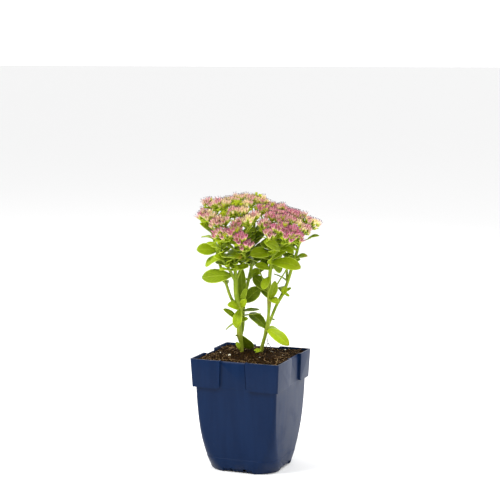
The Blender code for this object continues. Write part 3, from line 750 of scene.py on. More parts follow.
@dataclass(frozen=True)
class StamenSkin:
    """A pale pink thread with a dusky head."""

    thread: Colour = (0.55, 0.27, 0.33, 1)
    head: Colour = (0.075, 0.028, 0.045, 1)

    def material(self) -> Material:
        """Make the finish.

        Returns:
            The material.
        """
        nodes = Nodes("stamen skin")
        colour = nodes.mix(nodes.mark("reach").ease(0.84, 0.88), self.thread, self.head)
        nodes.set(Base_Color=colour, Roughness=nodes.noise(1.0) * 0.2 + 0.5, Specular_IOR_Level=0.2)
        return nodes.material


@dataclass(frozen=True)
class Finishes:
    """Every material of the plant, the soil and the pot."""

    plastic: Material = field(default_factory=NavyPlastic().material)
    soil: Material = field(default_factory=PottingSoil().material)
    bark: Material = field(default_factory=SoilBit(
        "bark", (0.006, 0.003, 0.0015, 1), (0.050, 0.022, 0.008, 1)).material)
    fibre: Material = field(default_factory=SoilBit(
        "coir fibre", (0.10, 0.040, 0.015, 1), (0.66, 0.46, 0.22, 1)).material)
    perlite: Material = field(default_factory=SoilBit(
        "perlite", (0.62, 0.55, 0.38, 1), (0.86, 0.82, 0.66, 1)).material)
    leaf: Material = field(default_factory=LeafSkin().material)
    stem: Material = field(default_factory=StemSkin().material)
    young_stem: Material = field(default_factory=StemSkin(
        "young stem skin", (0.52, 0.60, 0.060, 1), (0.30, 0.42, 0.012, 1)).material)
    petal: Material = field(default_factory=PetalSkin().material)
    heart: Material = field(default_factory=HeartSkin().material)
    stamen: Material = field(default_factory=StamenSkin().material)


@dataclass
class SquarePot:
    """The square nursery pot: a tapered body under a straight band with sunk label panels."""

    height: float = 109.5
    rim_half: float = 45.0
    band_height: float = 27.2
    band_foot_half: float = 43.6
    band_corner: float = 1.8
    body_top_half: float = 41.2
    body_top_corner: float = 3.0
    body_taper: float = 0.04
    body_curve: float = 5.2e-6
    corner_growth: float = 4.0e-5
    wall: float = 1.4
    floor_bottom: float = 4.8
    floor_top: float = 6.3
    foot_chamfer: tuple[float, float] = (0.9, 1.2)
    base_line_height: float = 13.4
    base_line_depth: float = 0.3
    base_line_rise: float = 0.4
    shoulder_drop: float = 0.6
    levels: tuple[float, ...] = (16.0, 22.0, 30.0, 40.0, 50.0, 60.0, 70.0)
    corner_steps: int = 10
    panel_top_width: float = 25.3
    panel_foot_width: float = 28.0
    panel_offsets: tuple[float, ...] = (-1.5, 4.5, 0.0, 0.0)
    panel_depth: float = 2.2
    panel_drop: float = 0.5
    panel_fillet: float = 3.0
    pad_drop: float = 3.0
    scoop_depths: tuple[float, float] = (3.9, 1.1)
    scoop_half: float = 13.0
    scoop_corner: float = 2.6
    scoop_easing: float = 0.3
    scoop_steps: int = 26
    groove_width: float = 1.3
    groove_depth: float = 1.0
    grooved_sides: tuple[int, ...] = (0, 2)
    skirt_width: float = 30.0
    skirt_depth: float = 1.3
    skirt_height: float = 3.8
    skirt_lift: float = 1.3
    skirt_wall: float = 1.8
    notches: tuple[tuple[float, float], ...] = ((7.0, 3.8), (-7.0, 1.2))
    notch_height: float = 4.4
    boss_radius: float = 7.0
    boss_sides: int = 48
    drain_radius: float = 3.5
    drain_sides: int = 24
    drain_offset: float = 17.0
    margin: float = 3.0
    edge_round: float = 0.55
    edge_steps: int = 3
    edge_angle: float = 32.0
    smooth_angle: float = 34.0
    reach: float = 0.3
    seam: float = 0.01

    @staticmethod
    def turned(side: int) -> Matrix:
        """Return the turn that takes the front to a side."""
        return Matrix.Rotation(side * math.pi / 2, 4, "Z")

    @property
    def band_bottom(self) -> float:
        """Return the height of the band's lower edge."""
        return self.height - self.band_height

    def body_ring(self, level: float, inset: float = 0.0) -> Triple:
        """Give the body's section at a level as half width, corner radius and height.

        Args:
            level: The height.
            inset: How far inside the outer face the section lies.

        Returns:
            The section.
        """
        below = self.band_bottom - level
        half = self.body_top_half - self.body_taper * below - self.body_curve * below ** 3
        corner = self.body_top_corner + self.corner_growth * below ** 3
        return half - inset, max(corner - inset, 1.0), level

    def band_half(self, level: float) -> float:
        """Return half the band's width at a level."""
        share = (level - self.band_bottom) / self.band_height
        return self.band_foot_half + (self.rim_half - self.band_foot_half) * share

    def band_ring(self, level: float, inset: float = 0.0) -> Triple:
        """Give the band's section at a level.

        Args:
            level: The height.
            inset: How far inside the outer face the section lies.

        Returns:
            The section.
        """
        return self.band_half(level) - inset, self.band_corner, level

    def loft(self, name: str, sections: list[Triple]) -> Piece:
        """Bridge rounded squares, lowest first, into a closed solid.

        Args:
            name: The solid's name.
            sections: Half width, corner radius and height of each square.

        Returns:
            The solid.
        """
        rings = []
        for half, corner, level in sections:
            bpy.ops.mesh.primitive_plane_add(size=2 * half * MM, location=(0, 0, level * MM))
            ring = bpy.context.active_object
            Bench.settle(ring)
            with Bench.editing(ring):
                bpy.ops.mesh.select_all(action="SELECT")
                bpy.ops.mesh.bevel(offset=corner * MM, segments=self.corner_steps, affect="VERTICES")
                if len(rings) not in (0, len(sections) - 1):
                    bpy.ops.mesh.select_all(action="SELECT")
                    bpy.ops.mesh.delete(type="ONLY_FACE")
            rings.append(ring)
        solid = Bench.join(name, rings)
        lowest, highest = sections[0][2] * MM, sections[-1][2] * MM
        with Bench.editing(solid):
            bpy.ops.mesh.select_mode(type="FACE")
            bpy.ops.mesh.select_all(action="SELECT")
            bpy.ops.mesh.delete(type="ONLY_FACE")
            bpy.ops.mesh.select_mode(type="EDGE")
            bpy.ops.mesh.select_all(action="SELECT")
            bpy.ops.mesh.bridge_edge_loops()
            bpy.ops.mesh.select_mode(type="VERT")
            for level in (lowest, highest):
                Bench.pick(lambda point, level=level: abs(point.z - level) < 1e-6)
                bpy.ops.mesh.edge_face_add()
        Bench.close(solid)
        return solid

    def inner_space(self, inset: float, top: float) -> Piece:
        """Make the pot's inner space as a solid.

        Args:
            inset: How much smaller it is all round.
            top: How high it reaches.

        Returns:
            The solid.
        """
        depth = self.wall + inset
        sections = [self.body_ring(level, depth) for level in
                    (self.floor_top + inset, *self.levels, self.band_bottom - self.shoulder_drop)]
        sections += [self.band_ring(self.band_bottom + depth, depth), self.band_ring(top, depth)]
        space = self.loft("inner space", sections)
        for side in range(4):
            Bench.cut(space, self.panel(side, self.panel_depth + depth, depth, self.pad_drop, 0.0))
        return space

    def panel(self, side: int, depth: float, widen: float, drop: float, fillet: float) -> Piece:
        """Make a block as deep as a label panel, flared downwards.

        Args:
            side: Which side of the pot it is for.
            depth: How far in from the band's face it reaches.
            widen: How much wider it is on each side.
            drop: How far its foot lies below the band.
            fillet: The radius by which the band's corners beside its foot are rounded.

        Returns:
            The block.
        """
        top = self.height + self.margin
        foot = self.band_bottom - drop
        inner_top, inner_foot = (self.band_half(self.height) - depth, self.band_half(foot) - depth)
        outer = self.rim_half + self.margin
        bpy.ops.mesh.primitive_cube_add(size=1)
        block = bpy.context.active_object
        block.name = "panel"
        block.location = Vector((0, -(outer + inner_top) / 2, (top + foot) / 2)) * MM
        block.scale = Vector((self.panel_top_width + 2 * widen, outer - inner_top, top - foot)) * MM
        Bench.settle(block)
        flare = (self.panel_foot_width + 2 * widen) / (self.panel_top_width + 2 * widen)
        with Bench.editing(block):
            Bench.pick(lambda point: point.z < (foot + 1) * MM)
            bpy.ops.transform.resize(value=(flare, 1, 1), center_override=(0, 0, 0))
            Bench.pick(lambda point: point.z < (foot + 1) * MM and point.y > -(inner_top + 1) * MM)
            bpy.ops.transform.translate(value=(0, (inner_top - inner_foot) * MM, 0))
            if fillet:
                self.round_foot(foot + drop, fillet)
        block.matrix_world = self.turned(side) @ Matrix.Translation((self.panel_offsets[side] * MM, 0, 0))
        Bench.settle(block)
        return block

    def scoop(self, side: int) -> Piece:
        """Make the wedge that dips into the rim over a panel and slopes up to the wall's inner edge.

        Args:
            side: Which side of the pot it is for.

        Returns:
            The wedge.
        """
        outer = self.panel_depth - self.rim_half
        deep, shallow = self.scoop_depths
        slope = (deep - shallow) / self.wall
        bpy.ops.mesh.primitive_grid_add(x_subdivisions=self.scoop_steps, y_subdivisions=1, size=2)
        wedge = bpy.context.active_object
        for vertex in wedge.data.vertices:
            x = vertex.co.x * self.scoop_half
            inner = vertex.co.y > 0
            from_end = max(1 - (self.scoop_half - abs(x)) / self.scoop_corner, 0.0)
            past = slope * self.reach
            drop = (shallow - past if inner else deep + past) * (1 - self.scoop_easing * from_end ** 2)
            y = outer + (self.wall + self.reach if inner else -self.reach)
            vertex.co = Vector((x + self.panel_offsets[side], y, self.height - drop)) * MM
        with Bench.editing(wedge):
            bpy.ops.mesh.select_all(action="SELECT")
            bpy.ops.mesh.extrude_region_move(TRANSFORM_OT_translate={"value": (0, 0, 2 * self.margin * MM)})
        Bench.close(wedge)
        wedge.matrix_world = self.turned(side)
        Bench.settle(wedge)
        return wedge

    def groove(self, side: int) -> Piece:
        """Make the fine upright block that cuts a groove along a panel's right edge.

        Args:
            side: Which side of the pot it is for.

        Returns:
            The block.
        """
        rise = self.band_height - self.margin
        level = self.height - self.scoop_depths[0] / 2 - rise / 2
        half_widths = (self.panel_top_width / 2, self.panel_foot_width / 2)
        flare = math.atan((half_widths[1] - half_widths[0]) / self.band_height)
        lean = math.atan((self.rim_half - self.band_foot_half) / self.band_height)
        x = sum(half_widths) / 2 - self.groove_width / 2 + self.panel_offsets[side]
        spot = Vector((x, self.panel_depth - self.band_half(level), level)) * MM
        bpy.ops.mesh.primitive_cube_add(size=1)
        block = bpy.context.active_object
        block.scale = Vector((self.groove_width, 2 * self.groove_depth, rise)) * MM
        Bench.settle(block)
        block.matrix_world = (self.turned(side) @ Matrix.Translation(spot)
                              @ Matrix.Rotation(-flare, 4, "Y") @ Matrix.Rotation(lean, 4, "X"))
        Bench.settle(block)
        return block

    def round_foot(self, edge: float, fillet: float) -> None:
        """Widen the edited block towards the band's lower edge along a quarter circle.

        Args:
            edge: The height of the band's lower edge.
            fillet: The circle's radius.
        """
        heights = [edge + fillet * (1 - math.cos(step * math.pi / 12)) for step in range(7)]
        for height in heights:
            bpy.ops.mesh.select_all(action="SELECT")
            bpy.ops.mesh.bisect(plane_co=(0, 0, height * MM), plane_no=(0, 0, 1))
        for height in [edge - self.panel_drop, *heights]:
            share = min(max((height - edge) / fillet, 0.0), 1.0)
            extra = fillet * (1 - math.sqrt(1 - (1 - share) ** 2)) * MM
            for way in (-1, 1):
                Bench.pick(lambda point, height=height, way=way:
                           abs(point.z - height * MM) < 1e-5 and point.x * way > 0)
                bpy.ops.transform.translate(value=(way * extra, 0, 0))

    def side_block(self, side: int, offset: float, width: float, depths: tuple[float, float],
                   top: float) -> Piece:
        """Make a block that cuts into the foot of one side.

        Args:
            side: Which side of the pot it is for.
            offset: Where its middle lies along the side.
            width: How wide it is.
            depths: How far from the pot's middle it begins and ends.
            top: How high it reaches.

        Returns:
            The block.
        """
        near, far = depths
        bpy.ops.mesh.primitive_cube_add(size=1)
        block = bpy.context.active_object
        block.location = Vector((offset, -(near + far) / 2, (top - self.margin) / 2)) * MM
        block.scale = Vector((width, far - near, top + self.margin)) * MM
        Bench.settle(block)
        block.matrix_world = self.turned(side)
        Bench.settle(block)
        return block

    def cylinder(self, radius: float, depth: float, turn: Matrix, sides: int) -> Piece:
        """Make a round cutter.

        Args:
            radius: Its radius.
            depth: Its length.
            turn: Where it goes.
            sides: How many sides it has.

        Returns:
            The cutter.
        """
        bpy.ops.mesh.primitive_cylinder_add(vertices=sides, radius=radius * MM, depth=depth * MM)
        cutter = bpy.context.active_object
        cutter.matrix_world = turn
        Bench.settle(cutter)
        return cutter

    def cut_side(self, pot: Piece, side: int) -> None:
        """Cut one side's panel, scooped lip, skirt and notches, and the drain hole beside it.

        Args:
            pot: The pot.
            side: Which side.
        """
        Bench.cut(pot, self.panel(side, self.panel_depth, 0.0, self.panel_drop, self.panel_fillet))
        Bench.cut(pot, self.scoop(side))
        if side in self.grooved_sides:
            Bench.cut(pot, self.groove(side))
        edge = self.body_ring(0.0)[0]
        skirt = edge - self.skirt_depth
        sunk = (skirt, edge + self.margin)
        lifted = (skirt - self.skirt_wall - self.margin, skirt + self.margin / 2)
        through = (edge - 2 * self.margin, edge + 2 * self.margin)
        Bench.cut(pot, self.side_block(side, 0.0, self.skirt_width, sunk, self.skirt_height))
        Bench.cut(pot, self.side_block(side, 0.0, self.skirt_width, lifted, self.skirt_lift))
        for offset, width in self.notches:
            Bench.cut(pot, self.side_block(side, offset, width, through, self.notch_height))
        aside = self.drain_offset * math.sqrt(0.5)
        spot = Matrix.Translation(Vector((aside, aside, self.floor_top)) * MM)
        Bench.cut(pot, self.cylinder(self.drain_radius, 2 * self.margin, self.turned(side) @ spot,
                                     self.drain_sides))

    def under_floor(self) -> Piece:
        """Make the hollow under the floor, with the flat boss left standing in it.

        Returns:
            The hollow as a solid.
        """
        inset = self.skirt_depth + self.skirt_wall
        half, corner, _ = self.body_ring(0.0, inset)
        sections = [(half, corner, -self.margin), self.body_ring(self.floor_bottom, inset)]
        hollow = self.loft("under floor", sections)
        boss = self.cylinder(self.boss_radius, 4 * self.floor_bottom, Matrix.Identity(4), self.boss_sides)
        Bench.cut(hollow, boss)
        return hollow

    def build(self, finishes: Finishes) -> None:
        """Build and finish the pot.

        Args:
            finishes: The materials.
        """
        chamfer_in, chamfer_up = self.foot_chamfer
        proud, ledge = -self.base_line_depth, self.base_line_height
        sections = [self.body_ring(0.0, chamfer_in + proud), self.body_ring(chamfer_up, proud),
                    self.body_ring(ledge - self.base_line_rise, proud)]
        sections += [self.body_ring(level) for level in (ledge, *self.levels, self.band_bottom)]
        sections += [self.band_ring(self.band_bottom + self.seam), self.band_ring(self.height)]
        pot = self.loft("nursery_pot", sections)
        Bench.cut(pot, self.inner_space(0.0, self.height + self.margin))
        for side in range(4):
            self.cut_side(pot, side)
        Bench.cut(pot, self.under_floor())
        Bench.close(pot)
        Bench.apply(pot, "BEVEL", width=self.edge_round * MM, segments=self.edge_steps,
                    limit_method="ANGLE", angle_limit=math.radians(self.edge_angle), harden_normals=False)
        Bench.smooth(pot, self.smooth_angle)
        Bench.paint(pot, finishes.plastic)
        hand_over(pot, "pot", "pot")


@dataclass
class Soil:
    """The potting mix: a crumbly mound with bark, coir fibres and perlite."""

    pot: SquarePot
    edge: float = 107.0
    crown: float = 110.4
    roundness: float = 1.7
    clearance: float = 0.3
    cells: int = 120
    lumps: tuple[tuple[float, float], ...] = ((9.0, 1.8), (3.2, 1.6), (1.3, 1.0))
    chips: int = 130
    chip_sizes: tuple[tuple[float, float], ...] = ((0.8, 3.0), (0.5, 1.2), (0.25, 0.6))
    crumbs: int = 620
    crumb_sizes: tuple[tuple[float, float], ...] = ((0.3, 1.1), (0.3, 1.1), (0.3, 1.1))
    grain_tilt: float = 0.6
    fibres: int = 300
    fibre_length: tuple[float, float] = (5.0, 16.0)
    fibre_radius: tuple[float, float] = (0.06, 0.14)
    fibre_rises: tuple[float, ...] = (0.0, 0.0, 0.0, 0.25)
    fibre_curl: float = 1.4
    drop_height: float = 300.0
    perlites: tuple[tuple[float, float, float], ...] = (
        (-21.0, 9.5, 1.5), (20.0, -7.0, 1.2), (30.0, 3.0, 0.7), (-12.0, -24.0, 1.2), (2.0, -34.0, 1.5),
        (33.0, -22.0, 1.1), (-30.0, -12.0, 0.8), (8.0, 20.0, 0.7))
    twig: tuple[tuple[Knot, ...], ...] = (
        ((15.2, 0, 125, 0.30), (16.2, 0, 120, 0.42), (18.6, 0.6, 116, 0.36), (20.4, 1.4, 110, 0.3)),
        ((16.2, 0, 120, 0.36), (14.4, 0.4, 116.6, 0.3), (12.6, 1, 112.5, 0.25), (12, 1.4, 109.5, 0.2)))
    seed: int = 23

    def mound(self, x: float, y: float) -> float:
        """Work out the mound's height.

        Args:
            x: The point's place along X.
            y: Its place along Y.

        Returns:
            The height there in millimetres.
        """
        half = self.pot.band_half(self.edge) - self.pot.wall
        share = min(max(abs(x), abs(y)) / half, 1.0)
        return self.edge + (self.crown - self.edge) * (1 - share ** self.roundness)

    def build_ground(self, finishes: Finishes) -> Piece:
        """Build the soil itself.

        Args:
            finishes: The materials.

        Returns:
            The soil.
        """
        size = 2 * self.pot.rim_half
        bpy.ops.mesh.primitive_grid_add(x_subdivisions=self.cells, y_subdivisions=self.cells,
                                        size=size * MM)
        ground = bpy.context.active_object
        ground.name = "potting_mix"
        for vertex in ground.data.vertices:
            vertex.co.z = self.mound(vertex.co.x / MM, vertex.co.y / MM) * MM
        for size_of_lumps, height in self.lumps:
            texture = bpy.data.textures.new("lumps", "CLOUDS")
            texture.noise_scale = size_of_lumps * MM
            texture.noise_depth = 2
            Bench.apply(ground, "DISPLACE", texture=texture, strength=height * MM, mid_level=0.5,
                        direction="Z", texture_coords="LOCAL")
        down = (0, 0, -2 * self.pot.height * MM)
        with Bench.editing(ground):
            bpy.ops.mesh.select_all(action="SELECT")
            bpy.ops.mesh.extrude_region_move(TRANSFORM_OT_translate={"value": down})
        Bench.close(ground)
        Bench.cut(ground, self.pot.inner_space(self.clearance, self.pot.height + 4 * self.pot.margin),
                  "INTERSECT")
        Bench.smooth(ground, 50)
        Bench.paint(ground, finishes.soil)
        hand_over(ground, "soil", "soil")
        return ground

    def lies_inside(self, x: float, y: float, margin: float) -> bool:
        """Tell whether a point lies clear of the pot's wall and its panels.

        Args:
            x: The point's place along X.
            y: Its place along Y.
            margin: How far from the wall it has to be.

        Returns:
            Whether it does.
        """
        half = self.pot.band_half(self.edge) - self.pot.wall - margin
        pad = self.pot.panel_foot_width / 2 + self.pot.wall + max(self.pot.panel_offsets)
        near, far = sorted((abs(x), abs(y)))
        return far < (half if near > pad + margin else half - self.pot.panel_depth)

    def spots(self, draw: random.Random, ground: Piece, count: int, margin: float) -> Iterator[Vector]:
        """Pick points on the soil's surface.

        Args:
            draw: The source of chance.
            ground: The soil.
            count: How many points.
            margin: How far from the wall they lie.

        Yields:
            Each point in metres.
        """
        half = self.pot.rim_half
        while count:
            x, y = draw.uniform(-half, half), draw.uniform(-half, half)
            if self.lies_inside(x, y, margin):
                count -= 1
                above = Vector((x, y, 2 * self.pot.height)) * MM
                yield ground.ray_cast(above, -UP)[1]

    def grain(self, name: str, cuts: int, rough: float, draw: random.Random) -> Piece:
        """Model one angular grain of unit size.

        Args:
            name: Its name.
            cuts: How finely it is divided.
            rough: How far its points are pushed about.
            draw: The source of chance.

        Returns:
            The grain.
        """
        bpy.ops.mesh.primitive_ico_sphere_add(subdivisions=cuts, radius=1.0)
        grain = bpy.context.active_object
        grain.name = name
        with Bench.editing(grain):
            bpy.ops.mesh.select_all(action="SELECT")
            bpy.ops.transform.vertex_random(offset=rough, uniform=1.0, seed=draw.randrange(10000))
        Bench.mark(grain, "tint")
        return grain

    def scatter(self, name: str, patterns: list[Piece], spots: list[Vector], sizes: Callable[[], Triple],
                draw: random.Random, material: Material) -> None:
        """Lay copies of grains on the soil, sunk by half.

        Args:
            name: The piece's name.
            patterns: The grains to copy.
            spots: Where they lie.
            sizes: Gives a grain's half sizes in millimetres.
            draw: The source of chance.
            material: Their finish.
        """
        copies = []
        for spot in spots:
            tilt = Vector((draw.uniform(-self.grain_tilt, self.grain_tilt),
                           draw.uniform(-self.grain_tilt, self.grain_tilt), 1)).normalized()
            turn = aim(tilt, draw.uniform(0, math.tau))
            size = Matrix.Diagonal((*(Vector(sizes()) * MM), 1))
            copies.append(Bench.copy(draw.choice(patterns), Matrix.Translation(spot) @ turn @ size,
                                     tint=draw.random()))
        for pattern in patterns:
            bpy.data.objects.remove(pattern, do_unlink=True)
        piece = Bench.join(name, copies)
        Bench.smooth(piece, 30)
        Bench.paint(piece, material)
        hand_over(piece, "soil")

    def build_perlite(self, ground: Piece, draw: random.Random, finishes: Finishes) -> None:
        """Lay the white grains of perlite where the photograph shows them.

        Args:
            ground: The soil.
            draw: The source of chance.
            finishes: The materials.
        """
        grains = [self.grain("grain", 2, 0.16, draw) for _ in range(2)]
        above = [place(across, toward, self.drop_height) for across, toward, _ in self.perlites]
        spots = [ground.ray_cast(point, -UP)[1] for point in above]
        sizes = iter([(size, size * 0.8, size * 0.8) for _, _, size in self.perlites])
        self.scatter("perlite", grains, spots, lambda: next(sizes), draw, finishes.perlite)

    def fibre_tint(self, point: Vector) -> float:
        """Return how pale the fibres are at a point; few of them are."""
        return (0.5 + 0.5 * math.sin(point.x * 2300 + point.y * 1700)) ** 2.5

    def build_fibres(self, ground: Piece, draw: random.Random, finishes: Finishes) -> None:
        """Lay curled coir fibres over the soil, more of them near the rim.

        Args:
            ground: The soil.
            draw: The source of chance.
            finishes: The materials.
        """
        strands = []
        for spot in self.spots(draw, ground, self.fibres, 1.0):
            if max(abs(spot.x), abs(spot.y)) < draw.uniform(0.1, 0.95) * self.pot.rim_half * MM:
                continue
            length = draw.uniform(*self.fibre_length)
            heading = draw.uniform(0, math.tau)
            curl = draw.uniform(-self.fibre_curl, self.fibre_curl)
            radius = draw.uniform(*self.fibre_radius)
            rise = draw.choice(self.fibre_rises)
            route = []
            for step in range(5):
                share = step / 4 - 0.5
                angle = heading + curl * share
                point = spot + Vector((math.cos(angle), math.sin(angle), 0)) * (share * length * MM)
                if not self.lies_inside(point.x / MM, point.y / MM, 0.2):
                    break
                lift = radius * 0.5 + rise * length * (share + 0.5) + 0.5 * math.sin(step * 2.1 + curl)
                found, floor = ground.ray_cast(Vector((point.x, point.y, self.drop_height * MM)), -UP)[:2]
                if not found:
                    break
                spot_above = Vector((point.x, point.y, floor.z + lift * MM))
                route.append((spot_above, radius * (1 - 0.6 * abs(share))))
            if len(route) > 2:
                strands.append(route)
        fibres = Bench.tubes("coir_fibres", strands, 0, 3)
        Bench.mark(fibres, "tint", self.fibre_tint)
        Bench.smooth(fibres, 80)
        Bench.paint(fibres, finishes.fibre)
        hand_over(fibres, "soil")

    def build_twig(self, finishes: Finishes) -> None:
        """Stand the small dry forked twig beside the right stem.

        Args:
            finishes: The materials.
        """
        twig = Bench.tubes("dry_twig", [[(place(*point), radius) for *point, radius in route]
                                        for route in self.twig], 1, 4)
        Bench.mark(twig, "tint", lambda point: 0.1)
        Bench.smooth(twig, 60)
        Bench.paint(twig, finishes.bark)
        hand_over(twig, "soil")

    def build(self, finishes: Finishes) -> None:
        """Build the soil and all that lies on it.

        Args:
            finishes: The materials.
        """
        draw = random.Random(self.seed)
        ground = self.build_ground(finishes)
        chips = [self.grain("chip", 1, 0.30, draw) for _ in range(4)]
        self.scatter("bark_chips", chips, list(self.spots(draw, ground, self.chips, 2.5)),
                     lambda: tuple(draw.uniform(*span) for span in self.chip_sizes), draw, finishes.bark)
        crumbs = [self.grain("crumb", 1, 0.25, draw) for _ in range(3)]
        self.scatter("soil_crumbs", crumbs, list(self.spots(draw, ground, self.crumbs, 1.2)),
                     lambda: tuple(draw.uniform(*span) for span in self.crumb_sizes), draw, finishes.soil)
        self.build_perlite(ground, draw, finishes)
        self.build_fibres(ground, draw, finishes)
        self.build_twig(finishes)


@dataclass
class LeafPattern:
    """One flat leaf of unit length and width, from which every leaf is cut."""

    columns: int = 6
    rows: int = 14
    fullness: float = 0.5
    lean: float = 1.3
    stalk: float = 0.20
    blunt: float = 0.14
    teeth: float = 0.03
    thickness: float = 1.5
    thin_edge: float = 0.42
    rib_depth: float = 0.35
    ripple: tuple[float, float] = (0.010, 0.028)
    ripple_waves: float = 9.0
    twist: float = 0.10
    tip_thinning: float = 0.35
    dry_from: float = 0.78
    fine: bool = True

    def spread(self, row: int) -> float:
        """Work out the leaf's outline.

        Args:
            row: The row, counted from the base.

        Returns:
            The leaf's width there, as a share of its widest.
        """
        share = row / self.rows
        full = max(math.sin(math.pi * share ** self.lean), 0.0) ** self.fullness
        tooth = self.teeth * (-1) ** row if 0.3 < share < 0.95 else 0.0
        return max(full * (1 + tooth), self.stalk if share < 0.5 else self.blunt)

    def build(self, finishes: Finishes) -> Piece:
        """Model the pattern.

        Args:
            finishes: The materials.

        Returns:
            The pattern, with its base at the origin and its tip along +Y.
        """
        bpy.ops.mesh.primitive_grid_add(x_subdivisions=self.columns, y_subdivisions=self.rows, size=1,
                                        location=(0, 0.5, 0))
        leaf = bpy.context.active_object
        leaf.name = "leaf pattern"
        Bench.settle(leaf)
        rim = leaf.vertex_groups.new(name="thickness")
        for vertex in leaf.data.vertices:
            inner = 1 - (2 * vertex.co.x) ** 2
            rim.add([vertex.index], inner, "REPLACE")
        with Bench.editing(leaf):
            for row in range(self.rows + 1):
                share = row / self.rows
                Bench.pick(lambda point, share=share: abs(point.y - share) < 1e-4)
                bpy.ops.transform.resize(value=(self.spread(row), 1, 1), center_override=(0, share, 0))
            Bench.pick(lambda point: abs(point.x) < 1e-4)
            bpy.ops.transform.translate(value=(0, 0, -self.rib_depth * MM))
        Bench.apply(leaf, "SOLIDIFY", thickness=self.thickness * MM, offset=0, vertex_group="thickness",
                    thickness_vertex_group=self.thin_edge)
        if self.fine:
            Bench.apply(leaf, "SUBSURF", levels=1, render_levels=1)
        Bench.smooth(leaf, 180)
        # Darkness mark: painted shade for leaves in shade, and the darkening of old leaves
        Bench.mark(leaf, "age")
        Bench.mark(leaf, "dry")
        Bench.paint(leaf, finishes.leaf)
        return leaf

    def shape(self, pattern: Piece, start: Vector, tip: Vector, width: float, face_turn: float, arch: float,
              cup: float, age: float, draw: random.Random, dry: float = 0.0) -> Piece:
        """Cut one leaf: size it, cup it, arch it and put it in its place.

        Args:
            pattern: The flat pattern.
            start: Where the leaf's base is, in metres.
            tip: Where its tip is, in metres.
            width: Its width in millimetres.
            face_turn: How far its face is turned from up towards the front, in degrees.
            arch: How far its middle is raised, as a share of its length.
            cup: How far its edges are raised, as a share of half its width.
            age: How dark it is, from 0 to 1, as painted shade for a leaf in shade and as the darkening of an
                old leaf.
            draw: The source of chance.
            dry: How dry its tip is.

        Returns:
            The leaf.
        """
        along = tip - start
        axis = along.normalized()
        upright = (UP - axis * axis.z).normalized()
        sideways = axis.cross(upright)
        if sideways.dot(place(0, 1, 0)) < 0:
            sideways = -sideways
        turn = math.radians(face_turn)
        normal = upright * math.cos(turn) + sideways * math.sin(turn)
        across = axis.cross(normal)
        ripple, phase = draw.uniform(*self.ripple) * width, draw.uniform(0, math.tau)
        twist = draw.uniform(-self.twist, self.twist)
        # Painted shade: the leaf's darkness, set for leaves in shade and for old leaves, with a little spread
        own_shade_and_age = min(max(age + draw.uniform(-0.06, 0.06), 0.0), 1.0)
        leaf = Bench.copy(pattern, Matrix.Identity(4), age=own_shade_and_age)
        for vertex in leaf.data.vertices:
            side, share, depth = vertex.co
            reach = side * width * MM
            lift = cup * reach * reach / (width / 2 * MM) + reach * twist * share
            wave = math.sin(phase + share * self.ripple_waves + (side > 0) * 2.0)
            lift += abs(2 * side) * ripple * wave * MM
            lift += along.length * arch * 4 * share * (1 - share)
            lift += depth * (1 - self.tip_thinning * share)
            vertex.co = start + along * share + across * reach + normal * lift
        if across.cross(axis).dot(normal) < 0:
            leaf.data.flip_normals()
        if dry:
            data = leaf.data.attributes["dry"].data
            for vertex, mark in zip(pattern.data.vertices, data):
                mark.value = dry * max(0.0, (vertex.co.y - self.dry_from) / (1 - self.dry_from))
        return leaf

    def cut(self, pattern: Piece, row: LeafRow, draw: random.Random, dry: float = 0.0) -> Piece:
        """Cut one leaf of a stem's list.

        Args:
            pattern: The flat pattern.
            row: Base, tip, width, turn of the face, arch, cup and darkness of the leaf, which is painted
                shade for a leaf in shade as well as the darkening of an old leaf.
            draw: The source of chance.
            dry: How dry its tip is.

        Returns:
            The leaf.
        """
        base, tip, *rest = row
        return self.shape(pattern, place(*base), place(*tip), *rest, draw, dry)


# Each branch: points as across, toward and up, with the radius there
LEFT_ROUTES: dict[str, list[Knot]] = {
    "main": [(-9.2, -6, 99.8, 1.9), (-9.2, -6, 111.5, 1.9), (-9.8, -4.5, 119, 2.0),
             (-11.4, -2, 127, 2.9), (-11.4, 0, 140, 2.4), (-10.6, 1, 150, 2.5), (-10.4, 2, 156, 2.8)],
    "outer": [(-10.6, 2, 151, 1.7), (-19, 1, 163, 1.5), (-24, 0, 177, 1.4), (-29.5, 0, 194, 1.4),
              (-33, 1, 210, 1.7), (-36.5, 0, 224, 1.4), (-39.5, 0, 235, 1.3)],
    "front": [(-10.4, 2, 153, 2.4), (-14, 7, 165, 2.3), (-15, 9, 184, 2.3)],
    "front_left": [(-15, 9, 181, 1.6), (-22, 12, 195, 1.4), (-28, 13, 206, 1.7), (-30, 18, 220, 1.3)],
    "front_middle": [(-15, 9, 181, 1.8), (-15.5, 10, 198, 1.6), (-15.5, 14, 212, 1.4), (-13, 21, 220, 1.3)],
    "front_right": [(-15, 9, 182, 1.5), (-10, 5, 193, 1.4), (-6.5, 1, 203, 1.5), (-9, -3, 221, 1.3),
                    (-10, -6, 238, 1.3)],
    "back": [(-10.4, -3, 125, 1.6), (-8.2, -4, 134, 1.5), (-7.8, -4.5, 148, 1.6), (-6.5, -8, 162, 1.7),
             (-3, -14, 178, 1.6), (0, -17, 191, 1.6), (2, -18, 214, 1.5), (3, -19, 238, 1.3)],
}

